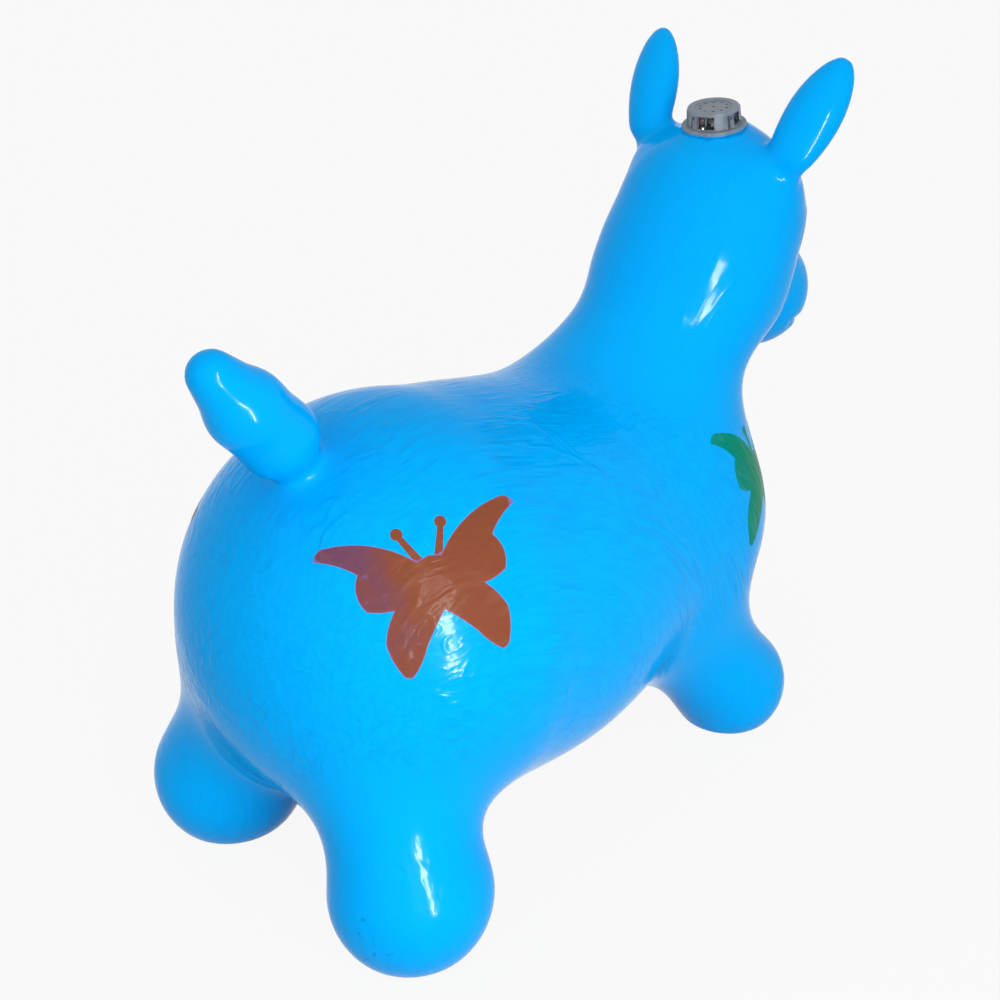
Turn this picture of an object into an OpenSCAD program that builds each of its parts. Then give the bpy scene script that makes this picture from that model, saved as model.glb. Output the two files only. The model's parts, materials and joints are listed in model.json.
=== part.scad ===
// Inflated donkey hopper: one hollow skin, a plug valve in its belly, and a caged sound module that pushes
// into a cup in the top of its head. The animal faces -Y and stands on Z = 0. Sizes are in millimetres.

/* [Trunk] */
// Distance of the rump's centre behind the middle
rump_y = 141; // [126:1:156]
// Height of the rump's centre
rump_z = 179; // [172:1:187]
// Radius of the rump
rump_r = 142; // [132:1:150]
// Distance of the barrel's centre behind the middle
barrel_y = 59; // [46:1:72]
// Height of the barrel's centre
barrel_z = 166; // [160:1:174]
// Radius of the barrel
barrel_r = 129; // [120:1:138]
// Distance of the chest's centre in front of the middle
chest_front = 75; // [64:1:86]
// Height of the chest's centre
chest_z = 166; // [158:1:174]
// Radius of the chest
chest_r = 117; // [108:1:126]
// Width of the fillets along the trunk and neck
long_fillet = 28; // [16:1:40]

/* [Neck and head] */
// Height of the neck's root above the chest's centre
neck_root_up = 64; // [56:1:72]
// Distance of the neck's root behind the chest's centre
neck_root_back = 9; // [0:1:18]
// Radius of the neck's root
neck_root_r = 48; // [42:1:54]
// Length of the neck
neck_len = 139; // [128:1:150]
// Rise of the neck, degrees
neck_rise = 46; // [40:1:52]
// Radius of the neck's top
neck_top_r = 59; // [54:1:64]
// Width of the fillet between neck and trunk
neck_fillet = 60; // [45:1:75]
// Height of the head's centre above the neck's top
head_up = 44; // [39:1:49]
// Distance of the head's centre in front of the neck's top
head_front = 24; // [19:1:29]
// Radius of the head
head_r = 62.5; // [58:0.5:67]
// Widening of neck and head across the animal
head_widen = 1.16; // [1.04:0.02:1.24]
// Half the width of the crown between the ears, to its end balls' centres
crown_x = 44; // [39:1:49]
// Distance of the crown's ends in front of the head's centre
crown_front = 2.5; // [0:0.5:8]
// Height of the crown's ends above the head's centre
crown_up = 26.5; // [22:0.5:31]
// Distance of the brow's centre in front of the head's centre
brow_front = 18; // [13:1:23]
// Height of the brow's centre above the head's centre
brow_up = 40; // [36:1:44]
// Radius of the brow and of the crown's ends
crown_r = 23; // [20:1:26]
// Distance of the muzzle's root in front of the head's centre
muzzle_front = 5; // [0:1:10]
// Distance of the muzzle's root under the head's centre
muzzle_down = 19.5; // [14:0.5:25]
// Radius of the muzzle's root
muzzle_r = 42; // [38:1:46]
// Distance of the nose's centre in front of the head's centre
nose_front = 51; // [46:1:56]
// Distance of the nose's centre under the head's centre
nose_down = 73; // [67:1:79]
// Radius of the nose
nose_r = 46.5; // [42:0.5:51]
// Width of the fillets round muzzle and crown
head_fillet = 15; // [9:1:24]

/* [Ears] */
// Half the distance between the ears' feet
ear_x = 66; // [61:1:71]
// Distance of an ear's foot in front of the head's centre
ear_front = 4; // [0:1:9]
// Height of an ear's foot above the head's centre
ear_up = 56; // [52:1:60]
// Length from an ear's foot to the centre of its tip
ear_len = 62; // [50:1:80]
// Lean of an ear outwards, degrees
ear_out = 15.5; // [5:0.5:30]
// Lean of an ear forwards, degrees
ear_forward = 29; // [10:1:40]
// Turn of an ear's flat face from the side, degrees
ear_turn = 88.5; // [60:0.5:110]
// Radius of an ear's foot
ear_foot_r = 17; // [15:0.5:20]
// Radius of an ear where it is broadest
ear_mid_r = 20; // [17:0.5:23]
// Place of an ear's broadest stretch, as a share of its length
ear_broad = 0.4; // [0.3:0.05:0.5]
// Radius of an ear's tip
ear_tip_r = 9.5; // [9.5:0.5:13]
// Thickness of an ear as a share of its width
ear_flat = 0.66; // [0.66:0.02:0.9]
// Width of the fillet round an ear's foot
ear_fillet = 8; // [6:1:14]
// Width of the fillets along an ear
ear_row_fillet = 3; // [2:0.5:6]

/* [Legs] */
// Half the distance between the hips
hip_x = 61; // [53:1:69]
// Distance of a hip behind the rump's centre
hip_back = 74; // [62:1:82]
// Distance of a hip under the rump's centre
hip_down = 37; // [28:1:48]
// Radius of a hip
hip_r = 28; // [24:1:40]
// Half the distance between the hind feet
hind_foot_x = 93; // [84:1:102]
// Distance of the hind feet behind the middle
hind_foot_y = 218; // [206:1:228]
// Radius of a hind foot
hind_foot_r = 53; // [47:1:59]
// Half the distance between the shoulders
shoulder_x = 70; // [60:1:80]
// Distance of a shoulder behind the chest's centre
shoulder_back = 7; // [-6:1:20]
// Distance of a shoulder under the chest's centre
shoulder_down = 63; // [52:1:74]
// Radius of a shoulder
shoulder_r = 39; // [32:1:48]
// Half the distance between the front feet
front_foot_x = 84; // [74:1:96]
// Distance of the front feet in front of the middle
front_foot_front = 121; // [109:1:134]
// Radius of a front foot
front_foot_r = 44.5; // [40:0.5:50]
// Height by which a foot's ball is cut flat at the sole
sole_cut = 15; // [10:0.5:20]
// Width of the fillet between leg and trunk
leg_fillet = 40; // [30:1:54]

/* [Tail] */
// Place of the tail's root on the rump, degrees above level
tail_place = 65; // [56:1:74]
// Height of the tail's root centre above the rump's surface
tail_root_out = 9; // [4:1:14]
// Radius of the tail's root
tail_root_r = 18; // [15:1:22]
// Length from the tail's root to its bulb
tail_len = 55; // [46:1:64]
// Rise of the tail, degrees
tail_rise = 41; // [30:1:52]
// Radius of the tail's bulb
tail_bulb_r = 23; // [19:1:26]
// Length from the bulb to the knob at the tip
tail_tip_len = 33; // [27:1:40]
// Rise of the knob, degrees
tail_tip_rise = 52; // [40:1:64]
// Radius of the knob
tail_tip_r = 15; // [12.5:0.5:18]
// Width of the fillets along the tail
tail_fillet = 9; // [6:1:14]

/* [Skin] */
// Thickness of the skin
wall = 2; // [1.4:0.1:2.6]
// Edge of the grid cells that the trunk and legs are worked out on
cell = 21; // [20:0.5:24]
// Edge of the grid cells round head, ears and tail
head_cell = 12; // [12:0.5:14]

/* [Head socket] */
// Depth by which the top of the head is flattened into a seat
seat_sink = 0.5; // [0:0.5:2]
// Distance of the seat behind the head's centre
seat_back = 2; // [0:0.5:4]
// Backward tilt of the seat, degrees
seat_tilt = 7.5; // [4:0.5:10]
// Inner radius of the cup
socket_r = 20; // [19:0.5:22]
// Wall of the cup
socket_wall = 2; // [1.2:0.1:3]
// Inner depth of the cup
socket_depth = 33; // [31:0.5:40]
// Width of the lip round the cup's mouth
lip_over = 1.2; // [0.6:0.1:1.6]
// Thickness of the lip
lip_t = 1; // [0.6:0.1:2]

/* [Air valve] */
// Distance of the valve behind the middle
valve_y = 61; // [46:1:81]
// Inner radius of the valve's seat
valve_bore_r = 5; // [4:0.25:6]
// Outer radius of the valve's neck
valve_neck_r = 9; // [8:0.5:11]
// Length of the neck inside the skin
valve_neck_len = 12; // [9:0.5:18]
// Width of the seat's flanges
valve_flange_w = 3; // [2:0.5:4]
// Thickness of the seat's flanges
valve_flange_t = 1.2; // [0.8:0.1:2]
// Radius of the plug's head
plug_head_r = 10; // [8:0.5:12]
// Thickness of the plug's head
plug_head_t = 1.8; // [1.2:0.1:3]
// Length of the plug's stem
plug_stem_len = 11; // [8:0.5:16]
// Length of the plug's pull tab
plug_tab_len = 8; // [5:0.5:12]

/* [Module base] */
// Radius of the flange that rests on the head
flange_r = 23.5; // [22.5:0.5:27]
// Thickness of the flange
flange_t = 2.6; // [1.6:0.1:4]
// Depth of the base under the seat
base_depth = 30; // [26:0.5:33]
// Wall of the base
base_wall = 1.6; // [1.2:0.1:2]
// Radius of the base's mouth
mouth_r = 16.4; // [16:0.1:16.8]
// Width of the ledge that carries the tray
ledge_w = 1.4; // [1:0.1:1.8]
// Thickness of the ledge
ledge_t = 2; // [1.2:0.1:3]

/* [Cage] */
// Radius of the cage at its foot
cage_r = 19.5; // [19.2:0.1:21]
// Radius of the cage at its rim
cage_rim_r = 19; // [18.8:0.1:21]
// Height of the cage above the flange
cage_h = 12.6; // [12:0.1:15]
// Wall of the cage
cage_wall = 1.4; // [1:0.1:1.5]
// Thickness of the rim and grille
cage_top_t = 1.2; // [0.8:0.1:1.4]
// Radius of the rounded edge of the rim
rim_round = 1.6; // [0.8:0.1:2.4]
// Radius of the sunk grille
grille_r = 13; // [11:0.5:15]
// Depth of the sunk grille
grille_sink = 0.9; // [0.4:0.1:1.2]
// Radius of a sound hole
sound_hole_r = 1.1; // [0.6:0.1:1.6]
// Number of sound holes in the ring
sound_holes = 10; // [6:1:12]
// Radius of the ring of sound holes
sound_ring_r = 10; // [6:0.5:11]
// Number of windows, and of bayonet slots
windows = 4; // [3:1:4]
// Angle that a window spans
window_angle = 43; // [30:1:46]
// Height of a window
window_h = 9.4; // [6:0.1:9.6]
// Height of a window's sill above the cage's foot
window_sill = 0.8; // [0.6:0.1:1.4]
// Direction of the first window's middle, degrees
window_turn = 107.5; // [90:0.5:120]
// Turn that opens the bayonet, degrees
bayonet_turn = 9; // [7:0.5:10]
// Height of the bayonet pins above the flange
bayonet_z = 7.6; // [6:0.1:8.4]
// Radius of a bayonet pin
bayonet_pin_r = 0.7; // [0.5:0.05:0.9]
// Width of the moulded ribs on the wall
rib_w = 0.7; // [0.4:0.1:1]
// Height of the moulded ribs
rib_out = 0.35; // [0.2:0.05:0.6]
// Angle between ribs
rib_step = 4.4; // [3.5:0.1:6]
// Number of ribs in a group
ribs = 6; // [3:1:6]

/* [Battery tray] */
// Depth of the tray under the flange's top
tray_sink = 0.8; // [0.4:0.1:1.2]
// Thickness of the tray
tray_t = 1.6; // [1.2:0.1:2]
// Radius of a button cell
cell_r = 5.8; // [5.4:0.1:5.9]
// Height of a button cell
cell_h = 5.4; // [3.6:0.1:5.4]
// Distance of the cells from the axis
cell_ring_r = 7.4; // [7.3:0.1:7.6]
// Gap round a cell in its rims
cell_gap = 0.2; // [0.1:0.05:0.3]
// Height of the rims that locate the cells
cell_rim_h = 1.2; // [0.6:0.1:2]
// Wall of those rims
cell_rim_t = 0.4; // [0.3:0.05:0.5]
// Thickness of the contact strips
strip_t = 0.3; // [0.2:0.05:0.4]
// Width of the contact strips
strip_w = 3; // [2:0.1:4]

/* [Screws] */
// Radius of a screw's shank
screw_r = 0.9; // [0.7:0.05:1.1]
// Radius of a screw's head
screw_head_r = 1.8; // [1.4:0.1:1.9]
// Height of a screw's head
screw_head_h = 1.2; // [0.8:0.1:1.6]
// Length of a screw's shank
screw_len = 6; // [4:0.5:7]
// Radius of the bosses
boss_r = 2.1; // [1.8:0.1:2.4]
// Distance of the tray's screws from the axis
tray_screw_ring_r = 13.5; // [13.3:0.1:13.7]
// Distance of the board's screws from the axis
board_screw_ring_r = 11; // [10.5:0.1:11.5]

/* [Circuit] */
// Radius of the circuit board
board_r = 14.4; // [14:0.1:14.6]
// Thickness of the circuit board
board_t = 1.2; // [0.8:0.1:1.6]
// Depth of the board's underside below the seat
board_depth = 20; // [18:0.5:21]
// Radius of the chip's drop of resin
chip_r = 4; // [3:0.25:4.5]
// Height of the chip's drop of resin
chip_h = 1.6; // [1:0.1:2.4]
// Radius of a wire with its cover
wire_r = 0.55; // [0.4:0.05:0.65]

/* [Shake switch] */
// Distance of the switch from the axis
switch_ring_r = 6; // [5:0.5:6.5]
// Height of the fixed pin
switch_pin_h = 9; // [8:0.5:10]
// Radius of the fixed pin
switch_pin_r = 0.4; // [0.3:0.05:0.5]
// Radius of the coil at the middle of its wire
coil_r = 1.9; // [1.7:0.1:2.2]
// Radius of the coil's wire
coil_wire_r = 0.25; // [0.2:0.05:0.3]
// Rise of the coil in one turn
coil_pitch = 1.1; // [1:0.05:1.2]
// Turns of the coil
coil_turns = 7; // [5:1:7]
// Gap under the coil, in which it sways
coil_foot_gap = 0.4; // [0.3:0.05:0.6]

/* [Speaker] */
// Radius of the speaker
speaker_r = 14; // [13.5:0.1:14.6]
// Wall of the speaker's frame
speaker_wall = 1; // [0.8:0.1:1.2]
// Height of the speaker's frame
speaker_h = 2.7; // [2.4:0.1:2.8]
// Thickness of the frame's floor
speaker_floor_t = 0.6; // [0.4:0.1:0.7]
// Height of the posts that carry the speaker
post_h = 8.2; // [7.8:0.1:8.3]
// Radius of a post
post_r = 1.2; // [0.9:0.1:1.3]
// Distance of the posts from the axis
post_ring_r = 9.8; // [9.4:0.1:10]
// Radius of the magnet's pot
magnet_r = 6.2; // [5.8:0.1:6.6]
// Height of the magnet's pot
magnet_h = 2.9; // [2.6:0.1:3]
// Radius of the magnet's core
core_r = 4.1; // [3.6:0.1:4.2]
// Width of the gap that the voice coil moves in
coil_gap = 1.1; // [1:0.05:1.2]
// Wall of the voice coil
voice_coil_wall = 0.4; // [0.3:0.05:0.45]
// Height of the voice coil
voice_coil_h = 2.2; // [2:0.05:2.3]
// Thickness of the cone
cone_t = 0.25; // [0.2:0.05:0.3]
// Rise of the cone's middle and edge
cone_rise = 0.3; // [0.2:0.05:0.35]

/* [Fits] */
// Gap between pieces that move past each other
run_gap = 0.3; // [0.25:0.05:0.4]
// Gap round a fixed piece in its place
fit_gap = 0.05; // [0.02:0.01:0.1]
// Gap under a turning foot
foot_gap = 0.1; // [0.05:0.05:0.2]

/* [Hidden] */
$fn = 64;
tiny = 0.01;

// Centres of the animal's balls
rump = [0, rump_y, rump_z];
barrel = [0, barrel_y, barrel_z];
chest = [0, -chest_front, chest_z];
neck_root = chest + [0, neck_root_back, neck_root_up];
neck_top = neck_root + neck_len * [0, -cos(neck_rise), sin(neck_rise)];
head = neck_top + [0, -head_front, head_up];
brow = head + [0, -brow_front, brow_up];
crown_end = head + [crown_x, -crown_front, crown_up];
muzzle_root = head - [0, muzzle_front, muzzle_down];
nose = head - [0, nose_front, nose_down];
ear_foot = head + [ear_x, -ear_front, ear_up];
ear_axis = unit([tan(ear_out), -tan(ear_forward), 1]);
ear_tip = ear_foot + ear_len * ear_axis;
ear_root = (crown_end + ear_foot) / 2;
ear_face = unit(across([cos(ear_turn), sin(ear_turn), 0], ear_axis));
hip = rump + [hip_x, hip_back, -hip_down];
hind_foot = [hind_foot_x, hind_foot_y, hind_foot_r - sole_cut];
shoulder = chest + [shoulder_x, shoulder_back, -shoulder_down];
front_foot = [front_foot_x, -front_foot_front, front_foot_r - sole_cut];
tail_root = rump + (rump_r + tail_root_out) * [0, cos(tail_place), sin(tail_place)];
tail_bulb = tail_root + tail_len * [0, cos(tail_rise), sin(tail_rise)];
tail_tip = tail_bulb + tail_tip_len * [0, cos(tail_tip_rise), sin(tail_tip_rise)];

// Seat of the sound module on the head
seat = head + [0, seat_back, head_r - seat_sink];
seat_up = [0, sin(seat_tilt), cos(seat_tilt)];
seat_fillet = 5;
sole_trim = 0.4;
sole_fillet = 5;

// Levels of the sound module above its seat, and radii that fit each other
flange_top = lip_t + flange_t;
cage_top = flange_top + cage_h;
tray_top = flange_top - tray_sink;
tray_bottom = tray_top - tray_t;
cell_bottom = tray_top + strip_t;
cell_top = cell_bottom + cell_h;
board_bottom = -board_depth;
board_top = board_bottom + board_t;
base_r = socket_r - run_gap;
base_in_r = base_r - base_wall;
base_floor = base_wall - base_depth;
ledge_r = mouth_r - ledge_w;
upright_r = cage_rim_r - cage_wall - run_gap;
upright_w = 3;
frame_bottom = tray_top + post_h;
magnet_bottom = frame_bottom + speaker_floor_t - 2.2;
magnet_floor_t = 0.8;
pot_in_r = core_r + coil_gap;
voice_coil_r = core_r + (coil_gap - voice_coil_wall) / 2;
voice_coil_bottom = magnet_bottom + magnet_floor_t + 0.5;
cone_bottom = voice_coil_bottom + voice_coil_h;
cone_r = speaker_r - speaker_wall - run_gap;
cells = 3;
cell_turn = 30;
slot_turn = window_turn + 59;
lock_turn = slot_turn + bayonet_turn / 2;
switch_turn = 200;
chip_turn = 20;
cell_cap_h = 0.5;
cell_cap_r = cell_r - 1;
cell_edge = 0.4;

// Small vector functions
function unit(v) = v / norm(v);
function across(v, axis) = v - (v * axis) * axis;
function polar(r, a, z = 0) = [r * cos(a), r * sin(a), z];

// Two distances joined by a fillet of width k, and one distance trimmed by another with a rounded edge
function joined(a, b, k) = let (h = max(k - abs(a - b), 0) / k) min(a, b) - h * h * k / 4;
function trimmed(a, b, k) = -joined(-a, -b, k);

// Distance from p to a limb that tapers from a ball at a to a ball at b
function limb(p, a, ra, b, rb) =
    let (ab = b - a, l2 = ab * ab, dr = ra - rb, slant = l2 - dr * dr)
    let (pa = p - a, y = pa * ab, z = y - l2, side = pa * l2 - ab * y)
    let (x2 = side * side, y2 = y * y * l2, z2 = z * z * l2, k = sign(dr) * dr * dr * x2)
    sign(z) * slant * z2 > k ? sqrt(x2 + z2) / l2 - rb
    : sign(y) * slant * y2 < k ? sqrt(x2 + y2) / l2 - ra
    : (sqrt(x2 * slant / l2) + y * dr) / l2 - ra;

// Distance to a row of balls, given as [centre, radius], with fillets of width k between its limbs
function row(p, balls, k, i = 0) =
    let (d = limb(p, balls[i][0], balls[i][1], balls[i + 1][0], balls[i + 1][1]))
    i + 2 == len(balls) ? d : joined(d, row(p, balls, k, i + 1), k);

// An ear is drawn as round limbs in a space that is stretched through its flat face
function stretched(p) = p + ((p - ear_foot) * ear_face) * (1 / ear_flat - 1) * ear_face;
// Its outline is a leaf's: two parabolas from its broadest stretch to foot and tip
function ear_r(t) = let (low = t < ear_broad, end_r = low ? ear_foot_r : ear_tip_r)
    ear_mid_r - (ear_mid_r - end_r) * pow((t - ear_broad) / (low ? ear_broad : 1 - ear_broad), 2);
ear_balls = [
    [stretched(ear_root), ear_foot_r],
    for (t = [0:0.2:1]) [ear_foot + t * ear_len * ear_axis, ear_r(t)]
];
trunk_balls = [[rump, rump_r], [barrel, barrel_r], [chest, chest_r]];
neck_balls = [[neck_root, neck_root_r], [neck_top, neck_top_r], [head, head_r]];
tail_balls = [[tail_root, tail_root_r], [tail_bulb, tail_bulb_r], [tail_tip, tail_tip_r]];

// Distance from p to the animal's outside, less than 0 inside it
function animal(p) =
    let (q = [abs(p[0]), p[1], p[2]], slim = [q[0] / head_widen, q[1], q[2]])
    let (neck = row(slim, neck_balls, long_fillet))
    let (crown = limb(q, brow, crown_r, crown_end, crown_r))
    let (top = trimmed(joined(neck, crown, head_fillet), (q - seat) * seat_up, seat_fillet))
    let (body = joined(row(q, trunk_balls, long_fillet), top, neck_fillet))
    let (faced = joined(body, limb(q, muzzle_root, muzzle_r, nose, nose_r), head_fillet))
    let (hind = joined(faced, limb(q, hip, hip_r, hind_foot, hind_foot_r), leg_fillet))
    let (legs = joined(hind, limb(q, shoulder, shoulder_r, front_foot, front_foot_r), leg_fillet))
    let (eared = joined(legs, row(stretched(q), ear_balls, ear_row_fillet), ear_fillet))
    let (tailed = joined(eared, row(q, tail_balls, tail_fillet), head_fillet))
    trimmed(tailed, -q[2] - sole_trim, sole_fillet);

// Slope of the distance at p, and p moved onto the surface in n steps
function slope(p, e = 0.5) =
    [for (d = [[e, 0, 0], [0, e, 0], [0, 0, e]]) (animal(p + d) - animal(p - d)) / (2 * e)];
function settled(p, n) = n == 0 ? p : let (g = slope(p)) settled(p - animal(p) * g / (g * g), n - 1);

// Height at which a ray that rises from the floor at [x, y] first meets the animal
function underside(x, y, z = 0, n = 24) = n == 0 ? z : underside(x, y, z + animal([x, y, z]), n - 1);
belly = [0, valve_y, underside(0, valve_y)];
belly_tilt = asin(unit(slope(belly))[1]);

// The places of the module's pieces and of the valve's pieces
module at_seat() translate(seat) rotate([-seat_tilt, 0, 0]) children();
module at_valve() translate(belly) rotate([belly_tilt, 0, 0]) children();
module ring_of(n, turn = 0) for (i = [0:n - 1]) rotate(turn + i * 360 / n) children();

// A tube of the given radius swept along a path; ref is never along the path
module swept(path, r, ref, sides = 8) {
    n = len(path);
    ways = [for (i = [0:n - 1]) unit(path[min(i + 1, n - 1)] - path[max(i - 1, 0)])];
    points = [
        for (i = [0:n - 1])
            let (u = unit(cross(ref, ways[i])), v = cross(ways[i], u))
            for (s = [0:sides - 1]) path[i] + r * (cos(s * 360 / sides) * u + sin(s * 360 / sides) * v)
    ];
    walls = [
        for (i = [0:n - 2], s = [0:sides - 1])
            let (a = i * sides + s, b = i * sides + (s + 1) % sides)
            each [[a, a + sides, b], [b, a + sides, b + sides]]
    ];
    last = (n - 1) * sides;
    ends = [for (s = [1:sides - 2]) each [[0, s, s + 1], [last, last + s + 1, last + s]]];
    polyhedron(points, concat(walls, ends));
}

// The hollow skin: a net of points, one in each grid cell that the surface crosses, pulled onto the surface.
// The grid is coarse up to the top of the rump, and above it fine and bunched towards head and tail.
// The same net moved in by the wall makes the inside, and the two are joined at the head's hole.
module skin_shell() {
    y_front = nose[1] - nose_r - cell;
    y_back = max(rump_y + rump_r, tail_tip[1] + tail_tip_r, hind_foot_y + hind_foot_r) + cell;
    n_low = ceil((rump_z + rump_r) / cell + 1.4);
    n_front = ceil((neck_root[1] - y_front) / head_cell);
    n_back = ceil((y_back - tail_root[1] + 2 * tail_root_r) / head_cell);
    n_mid = 3;
    nx = max(ceil((hind_foot_x + hind_foot_r) / cell), ceil((ear_tip[0] + ear_mid_r) / head_cell)) + 1;
    ny = n_front + n_mid + n_back;
    nz = n_low + ceil((ear_tip[2] + ear_tip_r - rump_z - rump_r) / head_cell) + 2;
    level = function (k) cell * (min(k, n_low) - 1.4) + head_cell * max(k - n_low, 0);
    fine = function (k) min(max((k - n_low + 2) / 3, 0), 1);
    even = function (j) y_front + j * (y_back - y_front) / ny;
    neck_y = y_front + n_front * head_cell;
    tail_y = y_back - n_back * head_cell;
    bunched = function (j) j < n_front ? y_front + j * head_cell
        : j > ny - n_back ? y_back - (ny - j) * head_cell
        : neck_y + (tail_y - neck_y) * (j - n_front) / n_mid;
    at = function (i, j, k) let (t = fine(k))
        [i * (cell + (head_cell - cell) * t), even(j) * (1 - t) + bunched(j) * t, level(k)];
    d = [for (i = [0:nx]) [for (j = [0:ny]) [for (k = [0:nz]) animal(at(i, j, k))]]];
    in = function (i, j, k) d[abs(i)][j][k] < 0;
    corners = [for (a = [0, 1], b = [0, 1], c = [0, 1]) [a, b, c]];
    edges = [for (a = corners, b = corners) if (min(b - a) == 0 && (b - a) * [1, 1, 1] == 1) [a, b]];
    cut = [
        for (i = [0:nx - 1], j = [0:ny - 1], k = [0:nz - 1])
            let (n = len([for (c = corners) if (in(i + c[0], j + c[1], k + c[2])) 1]))
            n > 0 && n < 8
    ];
    slot = [for (c = 0, n = 0; c < len(cut); n = n + (cut[c] ? 1 : 0), c = c + 1) cut[c] ? n : -1];
    right = [
        for (i = [0:nx - 1], j = [0:ny - 1], k = [0:nz - 1])
            if (cut[(i * ny + j) * nz + k])
                let (hits = [
                    for (e = edges)
                        let (a = e[0] + [i, j, k], b = e[1] + [i, j, k])
                        let (da = d[a[0]][a[1]][a[2]], db = d[b[0]][b[1]][b[2]])
                        if ((da < 0) != (db < 0))
                            let (pa = at(a[0], a[1], a[2]), pb = at(b[0], b[1], b[2]))
                            pa + (pb - pa) * da / (da - db)
                ])
                settled([for (h = hits) 1] * hits / len(hits), 3)
    ];
    count = len(right);
    outer = concat(right, [for (p = right) [-p[0], p[1], p[2]]]);
    inward = [for (p = right) wall * unit(slope(p))];
    inner = concat(right - inward, [for (p = right - inward) [-p[0], p[1], p[2]]]);
    point = function (i, j, k) i < 0
        ? count + slot[((-1 - i) * ny + j) * nz + k]
        : slot[(i * ny + j) * nz + k];
    quads = [
        for (i = [1 - nx:nx - 1], j = [1:ny - 1], k = [1:nz - 1])
            let (here = in(i, j, k))
            each [
                if (here != in(i + 1, j, k))
                    let (q = [point(i, j, k), point(i, j, k - 1), point(i, j - 1, k - 1), point(i, j - 1, k)])
                    here ? [q[3], q[0], q[1], q[2]] : [q[2], q[1], q[0], q[3]],
                if (here != in(i, j + 1, k))
                    let (q = [point(i, j, k), point(i - 1, j, k), point(i - 1, j, k - 1), point(i, j, k - 1)])
                    here ? q : [q[3], q[2], q[1], q[0]],
                if (here != in(i, j, k + 1))
                    let (q = [point(i, j, k), point(i, j - 1, k), point(i - 1, j - 1, k), point(i - 1, j, k)])
                    here ? q : [q[3], q[2], q[1], q[0]]
            ]
    ];
    faces = [
        for (q = quads)
            each norm(outer[q[0]] - outer[q[2]]) < norm(outer[q[1]] - outer[q[3]])
                ? [[q[0], q[1], q[2]], [q[0], q[2], q[3]]]
                : [[q[1], q[2], q[3]], [q[1], q[3], q[0]]]
    ];
    off = [for (f = faces) norm((outer[f[0]] + outer[f[1]] + outer[f[2]]) / 3 - seat)];
    open = [for (i = [0:len(faces) - 1]) if (off[i] == min(off)) i][0];
    n = 2 * count;
    hole = faces[open];
    sides = [
        for (s = [0:2])
            let (a = hole[s], b = hole[(s + 1) % 3])
            each [[a, b, b + n], [a, b + n, a + n]]
    ];
    rest = [for (i = [0:len(faces) - 1]) if (i != open) faces[i]];
    lining = [for (f = rest) [f[2] + n, f[1] + n, f[0] + n]];
    polyhedron(concat(outer, inner), concat(rest, lining, sides));
}

module skin() color("deepskyblue") difference() {
    skin_shell();
    translate([-rump_r * 2, -rump_r * 3, -cell * 3]) cube([rump_r * 4, rump_r * 6, cell * 3]);
    at_seat() translate([0, 0, -2 * wall - 1]) cylinder(r = socket_r + socket_wall, h = 3 * wall + 2);
    at_seat() translate([0, 0, -fit_gap]) cylinder(r = flange_r + run_gap, h = cage_top);
    at_valve() translate([0, 0, -2 * wall]) cylinder(r = valve_neck_r, h = 5 * wall);
}

module head_socket() color("dodgerblue") at_seat() rotate_extrude() polygon([
    [0, -socket_depth - socket_wall],
    [socket_r + socket_wall, -socket_depth - socket_wall],
    [socket_r + socket_wall, 0],
    [socket_r + socket_wall + lip_over, 0],
    [socket_r + socket_wall + lip_over, lip_t],
    [socket_r, lip_t],
    [socket_r, -socket_depth],
    [0, -socket_depth]
]);

valve_inner_z = wall + 1.2;
valve_outer_r = valve_neck_r + valve_flange_w;
module valve_seat() color("white") at_valve() rotate_extrude() polygon([
    [valve_bore_r, -valve_flange_t - foot_gap],
    [valve_outer_r, -valve_flange_t - foot_gap],
    [valve_outer_r, -foot_gap],
    [valve_neck_r, -foot_gap],
    [valve_neck_r, valve_inner_z],
    [valve_outer_r, valve_inner_z],
    [valve_outer_r, valve_inner_z + valve_flange_t],
    [valve_neck_r, valve_inner_z + valve_flange_t],
    [valve_neck_r - 1, valve_neck_len],
    [valve_bore_r, valve_neck_len]
]);

// The plug's stem is waisted between two sealing rings, and its head carries a pull tab
module valve_plug() color("white") at_valve() translate([0, 0, -valve_flange_t - 2 * foot_gap]) {
    stem_r = valve_bore_r - run_gap;
    rotate_extrude() polygon([
        [0, -plug_head_t],
        [plug_head_r - 0.5, -plug_head_t],
        [plug_head_r, -plug_head_t + 0.5],
        [plug_head_r, 0],
        [stem_r, 0],
        [stem_r, plug_stem_len * 0.25],
        [stem_r - 0.6, plug_stem_len * 0.35],
        [stem_r - 0.6, plug_stem_len * 0.5],
        [stem_r, plug_stem_len * 0.6],
        [stem_r, plug_stem_len * 0.75],
        [stem_r * 0.7, plug_stem_len],
        [0, plug_stem_len]
    ]);
    translate([plug_head_r - 1, -strip_w, -plug_head_t]) cube([plug_tab_len, 2 * strip_w, plug_head_t]);
}

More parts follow.
